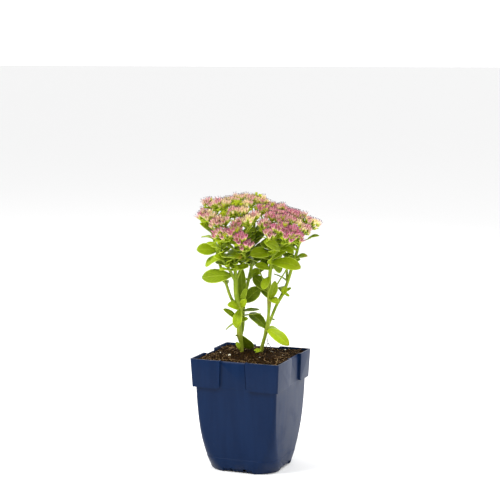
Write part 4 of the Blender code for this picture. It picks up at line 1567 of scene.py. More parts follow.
RIGHT_ROUTES: dict[str, list[Knot]] = {
    "main": [(9.4, -6, 99.8, 2.0), (9.7, -6, 111.5, 1.9), (13, -4, 125, 1.8), (15, -2, 134, 2.4)],
    "inner": [(15, -2, 132, 2.1), (16.7, 1, 149, 1.5), (17.2, 2, 162, 2.2), (17.4, 3, 182, 1.7),
              (19, 4, 198, 1.9), (20.5, 5, 207, 2.2)],
    "inner_shoot_left": [(17.2, 2, 166, 0.9), (11.3, 0, 181, 0.7), (7.8, -2.5, 190, 0.7)],
    "inner_shoot_right": [(17.2, 2, 163, 0.9), (25.4, 0, 178, 0.7), (33, -2, 190, 0.7), (36, -2, 196, 0.7)],
    "inner_front": [(20.5, 5, 205, 1.6), (20.5, 8, 216, 1.4), (18, 13, 225, 1.3)],
    "inner_right": [(20.5, 5, 205, 1.6), (27.5, 9, 214, 1.4), (33, 15, 220, 1.3)],
    "outer": [(15, -2, 134, 1.8), (18.6, -4, 142, 1.5), (24, -6, 155, 1.5), (30.5, -8, 167, 1.9),
              (35, -8, 178, 1.5), (38.5, -8, 190, 1.6), (42, -8, 201, 1.6), (45, -8, 212, 1.4),
              (46.5, -7, 222, 1.3)],
    "outer_twig": [(45.6, -7.6, 216, 0.8), (54, -4.5, 220.2, 0.5), (57, -3.6, 221.4, 0.4)],
    "outer_back": [(34.6, -8, 178, 1.3), (34.2, -10, 190, 1.2), (33, -12, 204, 1.2), (29, -16, 222, 1.3),
                   (27, -18, 234, 1.3)],
}

# Each leaf: base, tip, width, turn of its face from up towards the front, arch, cup and darkness, which is
# painted shade for a leaf in shade as well as the darkening of an old leaf
LEFT_LEAVES: list[LeafRow] = [
    ((-18.6, 10.6, 187.2), (-47, 15, 185.6), 15, 58, 0.06, 0.10, 0.42),
    ((-33, 1, 210), (-52, 9, 211.5), 13.5, 56, 0.08, 0.14, 0.30),
    ((-28, 13, 205), (-44, 7, 196), 12, 38, 0.10, 0.16, 0.25),
    ((-36, 0, 221), (-48, -6, 222), 9, 0, 0.10, 0.20, 0.35),
    ((-28, 13, 205), (-9, 24, 206), 10.5, 24, 0.10, 0.22, 0.08),
    ((-1.6, -15.2, 183), (9, -9, 189), 9, 70, 0.10, 0.20, 0.45),
    ((-6.5, 1, 203), (5, -11, 194), 12, 24, 0.14, 0.20, 0.80),
    ((-6.8, -6.5, 158.5), (8.6, -2, 173), 14, 76, 0.06, 0.12, 0.66),
    ((-10.4, 2, 156), (-5, 9, 175), 5.5, 130, 0.06, 0.15, 0.42),
    ((-12, 4, 152.5), (-23, 11, 159), 10, 52, 0.22, 0.20, 0.15),
    ((-11, 3, 154), (-14.2, 10, 136), 10, 8, 0.10, 0.16, 0.25),
    ((-12, 1, 141.5), (-27, 5, 154), 7, 50, 0.06, 0.20, 0.55),
    ((-11.4, 0, 142), (-25, -4, 132), 7, 12, 0.04, 0.15, 0.60),
    ((-10.8, 0, 151), (8, -4, 152), 7.5, 14, 0.0, 0.20, 0.75),
    ((-11.2, 0, 141), (-3, 3, 144.5), 5, 62, 0.06, 0.20, 0.35),
    ((-9.8, -3.8, 126.4), (1.2, -9, 112), 13, 142, 0.04, 0.10, 0.62),
    ((-10.4, 0, 151), (-16, -21, 158), 13, -10, 0.12, 0.16, 0.50),
    ((-24, 0, 177), (-32, -19, 178), 13, -14, 0.12, 0.16, 0.45),
    ((-33, 1, 210), (-42, -15, 213), 13, -16, 0.12, 0.16, 0.30),
    ((-3, -14, 178), (-13, -32, 178), 14, -20, 0.12, 0.16, 0.45),
    ((-3, -14, 178), (9, -27, 183), 13, -20, 0.12, 0.16, 0.50),
    ((0, -17, 191), (13, -33, 196), 13, -18, 0.12, 0.16, 0.35),
    ((0, -17, 192), (-16, -25, 197), 13, -12, 0.12, 0.16, 0.40),
    ((1, -17.5, 203), (11, -4, 211), 13, 34, 0.12, 0.16, 0.75),
    ((1, -17.5, 203), (-14, -13, 209), 12, 30, 0.12, 0.16, 0.70),
    ((2, -18, 214), (-8, -30, 222), 12, -16, 0.12, 0.16, 0.30),
    ((2, -18, 215), (13, -19, 226), 12, 40, 0.10, 0.16, 0.60),
    ((-8, -1, 212), (-19, -10, 217), 11, 8, 0.12, 0.16, 0.50),
    ((-9, -3, 221), (1, 4, 226), 10, 46, 0.10, 0.16, 0.55),
    ((-15.5, 14, 212), (-7, 24, 214), 8, 30, 0.10, 0.16, 0.10),
    ((-29, 16, 213), (-38, 24, 217), 8, 30, 0.12, 0.16, 0.15),
    ((-36.8, 0, 225), (-49, 8, 237), 6.5, 50, 0.08, 0.16, 0.15),
    ((-37.2, 0, 227), (-49, -9, 239), 6.5, 20, 0.08, 0.16, 0.20),
    ((-22, 12, 195), (-22, 24, 199), 6, 30, 0.10, 0.16, 0.15),
    ((-11, 3, 155), (-5, 9, 164), 7, 112, 0.08, 0.20, 0.0),
    ((-7.7, -4.7, 149), (-9.5, -8, 193), 9, 40, 0.03, 0.20, 0.62),
    ((2, -18, 222), (-8, -9, 233), 12, 44, 0.10, 0.16, 0.55),
    ((2, -18, 222), (11, -8, 233), 12, 44, 0.10, 0.16, 0.60),
    ((-9, -3, 214), (3, 4, 215), 12, 44, 0.10, 0.16, 0.65),
    ((-15.5, 14, 212), (-23, 24, 217), 8, 34, 0.10, 0.16, 0.12),
    # Small leaves among the upper branches, and buds at the joints
    ((-29, 13, 207), (-20, 17, 214), 7, 40, 0.10, 0.20, 0.45),
    ((-15.5, 10, 200), (-8, 15, 207), 8, 50, 0.10, 0.20, 0.55),
    ((-33, 2, 212), (-23, 6, 218), 8, 60, 0.10, 0.20, 0.40),
    ((-15.3, 10, 196), (-24, 6, 201), 8, 50, 0.10, 0.20, 0.55),
    ((-6.5, 1, 203), (-13, -4, 210), 8, 60, 0.10, 0.20, 0.70),
    ((-12.8, 0, 127), (-15.4, 2, 127.6), 1.6, 70, 0.0, 0.10, 0.80),
    ((-11, -4, 112), (-14.4, -5, 120), 4.0, 60, 0.10, 0.20, 0.30),
    ((-9.5, 0, 146.5), (9.5, -6, 147.5), 5, -2, 0.02, 0.10, 0.80),
]

# Same columns as the left stem's leaves; the last, the darkness, is painted shade for a leaf in shade as well
# as the darkening of an old leaf
RIGHT_LEAVES: list[LeafRow] = [
    ((20, 4.5, 208), (-1, 20, 208), 13.5, 42, 0.08, 0.14, 0.08),
    ((24, 7, 211), (11.5, 20, 221), 14, 46, 0.12, 0.26, 0.18),
    ((19, 4, 199), (47, 15, 195), 14, 44, 0.10, 0.14, 0.05),
    ((19, 4, 198), (29.5, -2, 190.5), 13, 68, 0.10, 0.18, 0.50),
    ((8.2, -2.2, 188.5), (14.5, -6, 203), 9, 72, 0.08, 0.18, 0.85),
    ((17.2, 2, 170), (2, -8, 184), 11, 56, 0.08, 0.18, 0.75),
    ((17.5, 2, 162), (22.5, 11, 182), 9, 168, 0.05, 0.34, 0.42),
    ((17.3, 4, 185), (11, 10, 173.5), 8.5, 24, 0.12, 0.16, 0.04),
    ((17, 1, 163), (8.5, -6, 175), 6.5, 44, 0.06, 0.20, 0.75),
    ((15, -2, 133), (-2, -12, 147), 12, 34, 0.10, 0.18, 0.75),
    ((15, -2, 133), (36, 14, 120), 12, 44, 0.12, 0.18, 0.08),
    ((15, -2, 133), (28, -14, 129), 9, 20, 0.10, 0.18, 0.25),
    ((31, -7, 165.5), (32.5, -1, 175), 6, 160, 0.05, 0.25, 0.05),
    ((31, -8, 168.5), (38.5, -6, 172.8), 3.6, 60, 0.0, 0.10, 0.15),
    ((31, -8, 168), (37, -9, 164), 3.2, 70, 0.0, 0.10, 0.25),
    ((54, -4.5, 220.2), (65, -1, 224), 5, 30, 0.12, 0.14, 0.45),
    ((42, -8, 201), (54, -3, 204), 8, 30, 0.10, 0.20, 0.25),
    ((35, -8, 179), (21.5, -12, 185.5), 4, -6, 0.06, 0.16, 0.80),
    ((17.5, 2, 162), (20.5, -18, 168), 11, -14, 0.12, 0.16, 0.50),
    ((17.5, 2, 162), (26, 8, 160), 8, 34, 0.22, 0.20, 0.10),
    ((20.5, 5, 206), (15, -13, 214), 12, -12, 0.12, 0.16, 0.50),
    ((38.5, -8, 190), (41, -26, 193), 12, -16, 0.12, 0.16, 0.40),
    ((31, -8, 167), (31.5, -26, 171), 10, -14, 0.12, 0.16, 0.45),
    ((45, -8, 211), (45, -24, 222), 10, -10, 0.12, 0.16, 0.35),
    ((15, -2, 133), (9, -21, 132), 12, -10, 0.12, 0.16, 0.50),
    ((31, -14, 214), (41, -26, 220), 10, -10, 0.12, 0.16, 0.35),
    ((27, 8.5, 213), (40, 19, 210), 8, 24, 0.10, 0.20, 0.15),
    ((20.5, 7, 212), (9, 6, 219), 11, 46, 0.10, 0.16, 0.55),
    ((20.5, 7, 212), (30, -6, 218), 10, 10, 0.10, 0.16, 0.50),
    # Small leaves among the upper branches, and buds at the joints
    ((27, 16, 212), (12, 33, 222), 12.5, 62, 0.10, 0.20, 0.10),
    ((44, -8, 209), (33, -2, 213), 6, 50, 0.10, 0.20, 0.30),
    ((45, -8, 213), (36, 0, 219), 6, 40, 0.10, 0.20, 0.15),
    ((33, -12, 206), (25, -4, 211), 7, 60, 0.10, 0.20, 0.55),
    ((33, -12, 203), (41, -4, 207), 7, 60, 0.10, 0.20, 0.45),
    ((42, -8, 201), (33, -6, 206), 7, 70, 0.10, 0.20, 0.70),
    ((31, -14, 212), (38, -6, 216), 7, 50, 0.10, 0.20, 0.35),
    ((19.5, 4.5, 203), (29, -4, 207), 8, 60, 0.10, 0.20, 0.60),
    ((34, -11, 198), (38, -2, 206), 8, 60, 0.10, 0.20, 0.80),
    ((19, -4, 143), (22.8, -4, 141.6), 1.6, 60, 0.0, 0.10, 0.50),
    ((10, -5, 111), (2.5, -2, 112), 3.4, 50, 0.20, 0.20, 0.0),
    ((9, -5, 111), (4, 1, 110.5), 2.6, 50, 0.25, 0.20, 0.10),
]


@dataclass
class LeafyStem:
    """One stem with its branches and all its leaves."""

    node: str
    routes: dict[str, list[Knot]]
    leaves: list[LeafRow]
    blushes: tuple[tuple[Triple, float, float], ...]
    dry_leaves: dict[int, float]
    crowded: tuple[str, ...]
    seed: int
    crowd_heights: tuple[float, float, float] = (192.0, 234.0, 5.0)
    crowd_turn: tuple[float, float] = (70.0, 110.0)
    crowd_rise: tuple[float, float] = (0.1, 0.7)
    crowd_length: tuple[float, float] = (11.0, 18.0)
    crowd_width: tuple[float, float] = (0.42, 0.55)
    crowd_face: tuple[float, float] = (15.0, 50.0)
    # Painted shade: the crowding leaves' darkness, which grows the further back they reach, along with some
    # darkening of older leaves
    crowd_shade_and_age: float = 0.40
    shade_depth: float = 50.0

    def blush(self, point: Vector) -> float:
        """Return how reddened or brown the stem is at a point."""
        return max(amount * math.exp(-((point - place(*spot)).length / (size * MM)) ** 2)
                   for spot, size, amount in self.blushes)

    def upper_leaves(self, pattern: LeafPattern, flat_leaf: Piece, draw: random.Random) -> list[Piece]:
        """Grow pairs of smaller leaves that crowd the upper branches, each pair turned from the last.

        Args:
            pattern: How leaves are cut.
            flat_leaf: The leaf that they are cut from.
            draw: The source of chance.

        Returns:
            The leaves.
        """
        low, high, step = self.crowd_heights
        heights = [low + step * index for index in range(int((high - low) / step))]
        grown = []
        for name in self.crowded:
            route = self.routes[name]
            turn = draw.uniform(0, math.tau)
            for lower, upper in zip(route, route[1:]):
                for height in heights:
                    if not lower[2] <= height < upper[2]:
                        continue
                    share = (height - lower[2]) / (upper[2] - lower[2])
                    across, toward = (lower[axis] + (upper[axis] - lower[axis]) * share for axis in (0, 1))
                    turn += math.radians(draw.uniform(*self.crowd_turn))
                    for side in (0, math.pi):
                        angle = turn + side + draw.uniform(-0.3, 0.3)
                        base = (across, toward, height)
                        grown.append(self.upper_leaf(pattern, flat_leaf, base, angle, draw))
        return grown

    def upper_leaf(self, pattern: LeafPattern, flat_leaf: Piece, base: Triple, angle: float,
                   draw: random.Random) -> Piece:
        """Grow one of the smaller leaves, with painted shade that makes it darker the further back it
        reaches.

        Args:
            pattern: How leaves are cut.
            flat_leaf: The leaf that it is cut from.
            base: Where its base is in the layout.
            angle: The way it grows, in radians.
            draw: The source of chance.

        Returns:
            The leaf.
        """
        across, toward, height = base
        length = draw.uniform(*self.crowd_length)
        way = Vector((math.cos(angle), math.sin(angle), draw.uniform(*self.crowd_rise))).normalized() * length
        # Painted shade: leaves that reach further back are made darker
        age = self.crowd_shade_and_age - (toward + way.y) / self.shade_depth + draw.uniform(-0.15, 0.15)
        return pattern.shape(
            flat_leaf, place(*base), place(across + way.x, toward + way.y, height + way.z),
            length * draw.uniform(*self.crowd_width), draw.uniform(*self.crowd_face), 0.10, 0.18,
            min(max(age, 0.05), 0.9), draw)

    def build(self, pattern: LeafPattern, flat_leaf: Piece, finishes: Finishes) -> None:
        """Build and finish the stem.

        Args:
            pattern: How leaves are cut.
            flat_leaf: The leaf that they are cut from.
            finishes: The materials.
        """
        draw = random.Random(self.seed)
        routes = [[(place(across, toward, height), radius) for across, toward, height, radius in route]
                  for route in self.routes.values()]
        stems = Bench.tubes(self.node, routes, 3, 6)
        Bench.mark(stems, "blush", self.blush)
        Bench.smooth(stems, 60)
        Bench.paint(stems, finishes.stem)
        leaves = [pattern.cut(flat_leaf, row, draw, self.dry_leaves.get(index, 0.0))
                  for index, row in enumerate(self.leaves)]
        leaves += self.upper_leaves(pattern, flat_leaf, draw)
        stem = Bench.join(f"{self.node}_grown", [stems, *leaves])
        hand_over(stem, "leaf", self.node)


class Stage(Enum):
    """How far a floret has opened: the lean of its petals in degrees and their share of full length."""

    BUD = (4.0, 0.62)
    HALF = (13.0, 0.92)
    OPEN = (23.0, 1.0)


@dataclass
class FloretPattern:
    """One starry floret at the origin, opening along +Z: petals, seed cases and stamens."""

    petal_length: float = 6.2
    petal_half: float = 1.0
    petal_keel: float = 0.5
    petal_foot: float = 0.72
    case_length: float = 4.0
    case_radius: float = 0.6
    stamen_length: float = 6.9
    stamen_radius: float = 0.14
    anther_radius: float = 0.30
    cup_foot: float = 0.4
    cup_radius: float = 1.25
    cup_depth: float = 1.5
    cup_points: float = 1.3

    def grown(self, name: str, foot: float, steps: list[tuple[float, float, float, float]]) -> Piece:
        """Grow a three-sided shape upwards by extruding it step by step, to a point.

        Args:
            name: Its name.
            foot: The radius of its foot.
            steps: For each step, how far out and up it goes and its size across and through.

        Returns:
            The shape, with its keel on the side of +X.
        """
        bpy.ops.mesh.primitive_circle_add(vertices=3, radius=foot * MM, fill_type="NGON",
                                          rotation=(0, 0, -math.pi / 2))
        shape = bpy.context.active_object
        shape.name = name
        Bench.settle(shape)
        out, up = 0.0, 0.0
        half, keel = foot, foot
        with Bench.editing(shape):
            bpy.ops.mesh.select_all(action="SELECT")
            for further, higher, next_half, next_keel in steps:
                move = (further * MM, 0, higher * MM)
                bpy.ops.mesh.extrude_region_move(TRANSFORM_OT_translate={"value": move})
                out, up = out + further, up + higher
                if next_half:
                    bpy.ops.transform.resize(value=(next_keel / keel, next_half / half, 1),
                                             center_override=(out * MM, 0, up * MM))
                    half, keel = next_half, next_keel
                else:
                    bpy.ops.mesh.merge(type="CENTER")
        Bench.close(shape, 0.0001)
        return shape

    def ring(self, shape: Piece, foot: float, lean: float, offset: float) -> list[Piece]:
        """Set five copies of a shape in a ring.

        Args:
            shape: What is set, which is then removed.
            foot: The ring's radius.
            lean: How far each leans out, in degrees.
            offset: The turn of the ring, as a share of a fifth.

        Returns:
            The copies.
        """
        copies = []
        for step in range(5):
            turn = Matrix.Rotation((step + offset) * math.tau / 5, 4, "Z")
            tilt = Matrix.Rotation(math.radians(lean), 4, "Y")
            copies.append(Bench.copy(shape, turn @ Matrix.Translation((foot * MM, 0, 0)) @ tilt))
        bpy.data.objects.remove(shape, do_unlink=True)
        return copies

    def build(self, stage: Stage, finishes: Finishes) -> Piece:
        """Model a floret.

        Args:
            stage: How far it has opened.
            finishes: The materials.

        Returns:
            The floret.
        """
        lean, share = stage.value
        length = self.petal_length * share
        petal = self.grown("petal", 0.42, [
            (0.05, length * 0.45, self.petal_half, self.petal_keel),
            (0.15, length * 0.33, self.petal_half * 0.72, self.petal_keel * 0.7),
            (0.30, length * 0.22, 0, 0)])
        self.finish(petal, length, finishes.petal)
        parts = self.ring(petal, self.petal_foot, lean, 0.0)
        if stage is not Stage.BUD:
            case = self.grown("seed case", 0.3, [
                (0.0, self.case_length * 0.35, self.case_radius, self.case_radius),
                (0.1, self.case_length * 0.65, 0, 0)])
            self.finish(case, self.case_length, finishes.heart)
            parts += self.ring(case, 0.5, lean * 0.35, 0.0)
            stamen = self.grown("stamen", self.stamen_radius, [
                (0.0, self.stamen_length * 0.86, self.stamen_radius * 0.8, self.stamen_radius * 0.8),
                (0.0, self.stamen_length * 0.06, self.anther_radius, self.anther_radius),
                (0.0, self.stamen_length * 0.08, 0, 0)])
            self.finish(stamen, self.stamen_length, finishes.stamen)
            parts += self.ring(stamen, 0.6, lean * 0.8, 0.5)
        floret = Bench.join(f"floret {stage.name.lower()}", parts)
        Bench.mark(floret, "bloom")
        Bench.smooth(floret, 50)
        return floret

    def finish(self, shape: Piece, length: float, material: Material) -> None:
        """Finish one shape of a floret, and mark its inner face and how far up each point lies.

        Args:
            shape: The shape.
            length: Its length.
            material: Its finish.
        """
        Bench.mark(shape, "reach", lambda point: min(max(point.z / (length * MM), 0.0), 1.0))
        Bench.mark_faces(shape, "inside", lambda normal: float(normal.x < -0.5))
        Bench.paint(shape, material)

    def cup(self, finishes: Finishes) -> Piece:
        """Model the green cup under a floret, with five short points.

        Args:
            finishes: The materials.

        Returns:
            The cup, with its rim at the origin.
        """
        bpy.ops.mesh.primitive_cone_add(
            vertices=10, radius1=self.cup_foot * MM, radius2=self.cup_radius * MM,
            depth=self.cup_depth * MM, location=(0, 0, -0.2 * self.cup_depth * MM))
        cup = bpy.context.active_object
        cup.name = "cup"
        Bench.settle(cup)
        with Bench.editing(cup):
            Bench.pick(lambda point: point.z > 0 and math.cos(5 * math.atan2(point.y, point.x)) > 0)
            bpy.ops.transform.translate(value=(0, 0, self.cup_points * MM))
            bpy.ops.transform.resize(value=(1.25, 1.25, 1), center_override=(0, 0, 0))
        Bench.mark(cup, "blush")
        Bench.smooth(cup, 40)
        Bench.paint(cup, finishes.young_stem)
        return cup


@dataclass
class Florets:
    """The patterns that every head copies."""

    opened: dict[Stage, Piece]
    cup: Piece
    small_pattern: LeafPattern
    small_leaf: Piece


# Each head: the node, the last two points of its branch, and its bunches as place and bloom
HeadRow = tuple[str, Triple, Triple, list[tuple[Triple, float]]]
HEADS: list[HeadRow] = [
    ("head_far_left", (-36.5, 0, 224), (-39.5, 0, 235), [
        ((-42, -5, 257), 0.45), ((-35, 4, 257), 0.40), ((-29, -10, 257), 0.45), ((-41, 12, 246), 0.35),
        ((-36, -20, 252), 0.45), ((-47, 3, 247), 0.50), ((-27, 7, 256), 0.20)]),
    ("head_left", (-28, 13, 206), (-30, 18, 220), [
        ((-35, 21, 241), 0.40), ((-27, 21, 242), 0.45), ((-32, 30, 231), 0.50), ((-24, 32, 230), 0.60),
        ((-26, 14, 248), 0.05)]),
    ("head_middle", (-15.5, 14, 212), (-13, 21, 220), [
        ((-17, 36, 234), 0.80), ((-11, 41, 228), 0.90), ((-14, 27, 241), 0.60), ((-6, 38, 221), 0.80),
        ((-18, 17, 251), 0.45), ((-4, 30, 243), 0.15), ((-8, 17, 251), 0.22), ((2, 21, 247), 0.38)]),
    ("head_top", (-9, -3, 221), (-10, -6, 238), [
        ((-21, -4, 258), 0.35), ((-15, -12, 260), 0.30), ((-9, -21, 260), 0.30), ((-1, -9, 260), 0.40),
        ((-5, 5, 256), 0.22), ((-18, -27, 255), 0.35), ((-14, 6, 257), 0.05)]),
    ("head_back", (2, -18, 214), (3, -19, 238), [
        ((6, -19, 262), 0.05), ((11, -10, 258), 0.16), ((0, -31, 256), 0.25), ((13, -30, 253), 0.28)]),
    ("head_inner_right", (20.5, 8, 216), (18, 13, 225), [
        ((10, 5, 252), 0.95), ((13, 24, 240), 0.60), ((19, 13, 245), 0.75), ((17, 32, 231), 0.55),
        ((25, 31, 236), 0.80), ((22, 2, 249), 0.65)]),
    ("head_right", (27.5, 9, 214), (33, 15, 220), [
        ((32, 33, 236), 0.85), ((40, 31, 234), 0.90), ((35, 39, 228), 0.95), ((45, 28, 228), 0.95),
        ((38, 10, 242), 0.65), ((30, 17, 242), 0.65), ((31, 5, 246), 0.70)]),
    ("head_far_right", (45, -8, 212), (46.5, -7, 222), [
        ((46, -8, 244), 0.65), ((54, -12, 241), 0.50), ((62, -3, 236), 0.40), ((54, 8, 233), 0.45),
        ((47, 13, 237), 0.30), ((44, -20, 244), 0.50), ((39, -2, 247), 0.65)]),
    ("head_rear_right", (29, -16, 222), (27, -18, 234), [
        ((21, -9, 252), 0.60), ((31, -11, 250), 0.65), ((26, -28, 248), 0.45), ((36, -28, 245), 0.45),
        ((29, -20, 249), 0.55)]),
]


@dataclass
class FlowerHead:
    """One head: bunches of florets on rays that spring from a branch's end."""

    node: str
    before: Triple
    end: Triple
    bunches: list[tuple[Triple, float]]
    heart: Triple = (5.0, 2.0, 165.0)
    hub_rise: float = 1.65
    core_sink: float = 2.5
    neck_drop: float = 6.1
    spread: float = 5.2
    dome: float = 3.0
    lift: float = 0.6
    unevenness: float = 1.2
    florets_each: int = 9
    green_below: float = 0.06
    closed_share: float = 0.28
    opened_from: float = 0.92
    floret_size: tuple[float, float] = (0.84, 1.08)
    upward: float = 0.65
    outward: float = 0.52
    bracts_each: int = 7
    bract_length: tuple[float, float] = (5.0, 10.0)
    bract_width: tuple[float, float] = (2.0, 3.4)
    bract_ages: tuple[float, ...] = (0.0, 0.0, 0.15, 0.4)
    knot_radii: Triple = (1.25, 1.35, 0.9)
    ray_radius: float = 0.8
    stalk_radius: float = 0.42

    def bunch_frame(self, bunch: Triple) -> tuple[Vector, Vector]:
        """Give a bunch's middle and the way it leans.

        Args:
            bunch: The bunch's place in the layout.

        Returns:
            The middle in metres and the lean.
        """
        middle = place(*bunch)
        lean = (middle - place(*self.heart)).normalized()
        return middle - lean * (self.core_sink * MM), lean

    def floret_seats(self, middle: Vector, lean: Vector, draw: random.Random) -> list[tuple[Vector, Vector]]:
        """Spread a bunch's florets over a low dome.

        Args:
            middle: The dome's middle.
            lean: The way the bunch leans.
            draw: The source of chance.

        Returns:
            The foot of each floret and the way it opens.
        """
        turn = aim(lean, draw.uniform(0, math.tau)).to_3x3()
        seats = []
        for index in range(self.florets_each):
            share = math.sqrt((index + draw.uniform(0.3, 0.7)) / self.florets_each)
            angle = index * GOLDEN_ANGLE + draw.uniform(-0.25, 0.25)
            outward = turn @ Vector((math.cos(angle), math.sin(angle), 0))
            rise = self.lift - self.dome * share ** 2 + draw.uniform(-1, 1) * self.unevenness
            seat = middle + outward * (self.spread * share * MM) + lean * (rise * MM)
            opens = (lean + UP * self.upward + outward * (self.outward * share)).normalized()
            seats.append((seat, opens))
        return seats

    def stage_of(self, bloom: float, draw: random.Random) -> Stage:
        """Choose how far a floret has opened.

        Args:
            bloom: How deep its bunch's colour is.
            draw: The source of chance.

        Returns:
            The stage.
        """
        if bloom < self.green_below:
            return Stage.BUD
        opening = draw.random() + 0.35 * bloom
        if opening < self.closed_share:
            return Stage.BUD
        return Stage.HALF if opening < self.opened_from else Stage.OPEN

    def build_bunch(self, bunch: Triple, bloom: float, hub: Vector, florets: Florets, draw: random.Random
                    ) -> tuple[list[Piece], list[Piece], list[list[tuple[Vector, float]]]]:
        """Build one bunch.

        Args:
            bunch: Its place in the layout.
            bloom: How deep its flowers' colour is; green buds have none.
            hub: Where its ray starts, in metres.
            florets: The patterns.
            draw: The source of chance.

        Returns:
            The florets, the green cups and bracts, and the routes of its ray and stalks.
        """
        middle, lean = self.bunch_frame(bunch)
        neck = middle - lean * (self.neck_drop * MM)
        bow = (hub + neck) / 2 + lean * (draw.uniform(-0.8, 0.2) * MM) - UP * (0.6 * MM)
        routes = [[(hub, self.ray_radius), (bow, self.ray_radius * 0.85), (neck, self.ray_radius)]]
        opened, greens = [], []
        for seat, opens in self.floret_seats(middle, lean, draw):
            stage = self.stage_of(bloom, draw)
            tone = min(max(draw.gauss(bloom, 0.16), 0.12), 1.0) * (0.6 if stage is Stage.BUD else 1.0)
            tone = 0.0 if bloom < self.green_below or draw.random() < 0.06 else tone
            size = draw.uniform(*self.floret_size)
            turn = Matrix.Translation(seat) @ aim(opens, draw.uniform(0, math.tau)) @ Matrix.Scale(size, 4)
            opened.append(Bench.copy(florets.opened[stage], turn, bloom=tone))
            greens.append(Bench.copy(florets.cup, turn))
            foot = seat - opens * (0.8 * MM)
            halfway = (neck + foot) / 2 + lean * (0.5 * MM)
            routes.append([(neck, self.stalk_radius * 1.2), (halfway, self.stalk_radius),
                           (foot, self.stalk_radius)])
        greens += self.bracts(neck, lean, florets, draw)
        return opened, greens, routes

    def bracts(self, neck: Vector, lean: Vector, florets: Florets, draw: random.Random) -> list[Piece]:
        """Grow the small green leaves round the neck of a bunch.

        Args:
            neck: Where the bunch's stalks part, in metres.
            lean: The way the bunch leans.
            florets: The patterns.
            draw: The source of chance.

        Returns:
            The small leaves.
        """
        turn = aim(lean, draw.uniform(0, math.tau)).to_3x3()
        grown = []
        for index in range(self.bracts_each):
            angle = index * GOLDEN_ANGLE + draw.uniform(-0.3, 0.3)
            outward = turn @ Vector((math.cos(angle), math.sin(angle), draw.uniform(0.15, 1.0))).normalized()
            start = neck + lean * (draw.uniform(-1.5, 2.0) * MM)
            tip = start + outward * (draw.uniform(*self.bract_length) * MM)
            grown.append(florets.small_pattern.shape(
                florets.small_leaf, start, tip, draw.uniform(*self.bract_width), draw.uniform(0, 60), 0.10,
                0.2, draw.choice(self.bract_ages), draw))
        return grown

    def build(self, florets: Florets, finishes: Finishes) -> None:
        """Build and finish the head.

        Args:
            florets: The patterns.
            finishes: The materials.
        """
        draw = random.Random(self.node)
        end, before = place(*self.end), place(*self.before)
        hub = end + (end - before).normalized() * (self.hub_rise * MM)
        opened, greens, routes = [], [], []
        for bunch, bloom in self.bunches:
            more_opened, more_greens, more_routes = self.build_bunch(bunch, bloom, hub, florets, draw)
            opened += more_opened
            greens += more_greens
            routes += more_routes
        routes.append(list(zip((end, hub, hub + (hub - end) * 0.6), self.knot_radii)))
        greens += self.bracts(hub, (hub - end).normalized(), florets, draw)
        stalks = Bench.tubes("stalks", routes, 1, 4)
        Bench.mark(stalks, "blush")
        Bench.smooth(stalks, 80)
        Bench.paint(stalks, finishes.young_stem)
        hand_over(Bench.join(f"{self.node}_stalks", [stalks, *greens]), "leaf")
        hand_over(Bench.join(f"{self.node}_florets", opened), "flower", self.node)


@dataclass
class Plant:
    """Both leafy stems and every flower head."""

    stems: tuple[LeafyStem, ...] = (
        LeafyStem("stem_left", LEFT_ROUTES, LEFT_LEAVES,
                  (((-12.6, -1, 127.5), 2.8, 0.65), ((-10.4, 2, 155), 3.0, 0.30),
                   ((-9.2, -6, 110), 6.0, 0.25)),
                  {4: 1.0, 15: 0.25}, ("front_left", "front_middle", "front_right", "back"), 5),
        LeafyStem("stem_right", RIGHT_ROUTES, RIGHT_LEAVES,
                  (((17.2, 2, 160), 3.4, 0.6), ((15, -2, 133), 3.0, 0.3), ((9.7, -6, 110), 6.0, 0.3)),
                  {10: 0.35, 16: 0.9, 2: 0.2}, ("inner", "inner_front", "inner_right", "outer_back"), 7),
    )

    def build(self, finishes: Finishes) -> None:
        """Build the plant.

        Args:
            finishes: The materials.
        """
        pattern = LeafPattern()
        flat_leaf = pattern.build(finishes)
        for stem in self.stems:
            stem.build(pattern, flat_leaf, finishes)
        floret = FloretPattern()
        small_pattern = LeafPattern(columns=4, rows=5, teeth=0.0, thickness=0.7, rib_depth=0.1, fine=False)
        florets = Florets({stage: floret.build(stage, finishes) for stage in Stage}, floret.cup(finishes),
                          small_pattern, small_pattern.build(finishes))
        for node, before, end, bunches in HEADS:
            FlowerHead(node, before, end, bunches).build(florets, finishes)
        for used in (flat_leaf, florets.small_leaf, florets.cup, *florets.opened.values()):
            bpy.data.objects.remove(used, do_unlink=True)


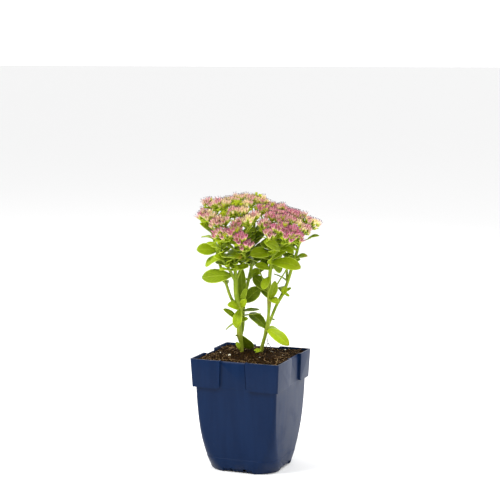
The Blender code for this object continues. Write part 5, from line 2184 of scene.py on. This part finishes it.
@dataclass
class Studio:
    """A pale floor, soft lights and the camera.

    Each light is its name, its place, its width and its power in watts.
    """

    azimuth: float = 22.0
    elevation: float = 7.44
    distance: float = 1436.5
    aside: float = -1.3
    target_height: float = 210.3
    lens: float = 108.0
    floor_size: float = 90000.0
    floor_colour: Colour = (0.90, 0.90, 0.90, 1)
    sky: Colour = (1.0, 1.0, 1.0, 1)
    bright_way: Triple = (0.62, 0.78, 0.10)
    sky_strength: tuple[float, float] = (0.45, 1.5)
    lights: tuple[tuple[str, Triple, float, float], ...] = (
        ("key", (-600, -800, 1300), 500, 25.0),
        ("back", (600, 1000, 900), 700, 10.0))

    def build_floor(self) -> None:
        """Lay the floor."""
        bpy.ops.mesh.primitive_plane_add(size=self.floor_size * MM)
        floor = bpy.context.active_object
        floor.name = "floor"
        nodes = Nodes("pale floor")
        nodes.set(Base_Color=self.floor_colour, Roughness=0.9, Specular_IOR_Level=0.1)
        Bench.paint(floor, nodes.material)

    def build_surroundings(self) -> None:
        """Make pale surroundings that are brighter behind the object and to its right."""
        nodes = Nodes("studio", world=True)
        source = nodes.add("ShaderNodeTexCoord")
        facing = nodes.add("ShaderNodeVectorMath", {"operation": "DOT_PRODUCT"},
                           {0: source.outputs["Generated"], 1: self.bright_way})
        dim, bright = self.sky_strength
        share = Value(nodes, facing.outputs["Value"]).ease(-0.7, 0.75)
        nodes.set(Color=self.sky, Strength=share * (bright - dim) + dim)
        bpy.context.scene.world = nodes.material

    def build_lights(self) -> None:
        """Hang the soft lights."""
        target = Vector((0, 0, self.target_height)) * MM
        for name, spot, size, power in self.lights:
            light = bpy.data.lights.new(name, "AREA")
            light.energy = power
            light.size = size * MM
            lamp = bpy.data.objects.new(name, light)
            lamp.location = Vector(spot) * MM
            lamp.rotation_euler = (target - lamp.location).to_track_quat("-Z", "Y").to_euler()
            bpy.context.scene.collection.objects.link(lamp)

    def build_camera(self) -> None:
        """Set up the camera at the photograph's angle."""
        turn, rise = math.radians(self.azimuth), math.radians(self.elevation)
        back = Vector((math.sin(turn) * math.cos(rise), -math.cos(turn) * math.cos(rise), math.sin(rise)))
        right = Vector((math.cos(turn), math.sin(turn), 0))
        target = (right * self.aside + UP * self.target_height) * MM
        lens = bpy.data.cameras.new("camera")
        lens.lens = self.lens
        lens.sensor_width = 36.0
        camera = bpy.data.objects.new("camera", lens)
        axes = Matrix((right, back.cross(right), back)).transposed().to_4x4()
        camera.matrix_world = Matrix.Translation(target + back * (self.distance * MM)) @ axes
        bpy.context.scene.collection.objects.link(camera)
        bpy.context.scene.camera = camera

    def build(self) -> None:
        """Build the studio, and show colours as they are."""
        self.build_floor()
        self.build_surroundings()
        self.build_lights()
        self.build_camera()
        bpy.context.scene.view_settings.view_transform = "Standard"


def main() -> None:
    """Build the studio and every piece of the object."""
    logging.basicConfig(level=logging.INFO, format="%(name)s: %(message)s")
    Bench.clear()
    Studio().build()
    finishes = Finishes()
    pot = SquarePot()
    pot.build(finishes)
    Soil(pot).build(finishes)
    Plant().build(finishes)


if __name__ == "__main__":
    main()
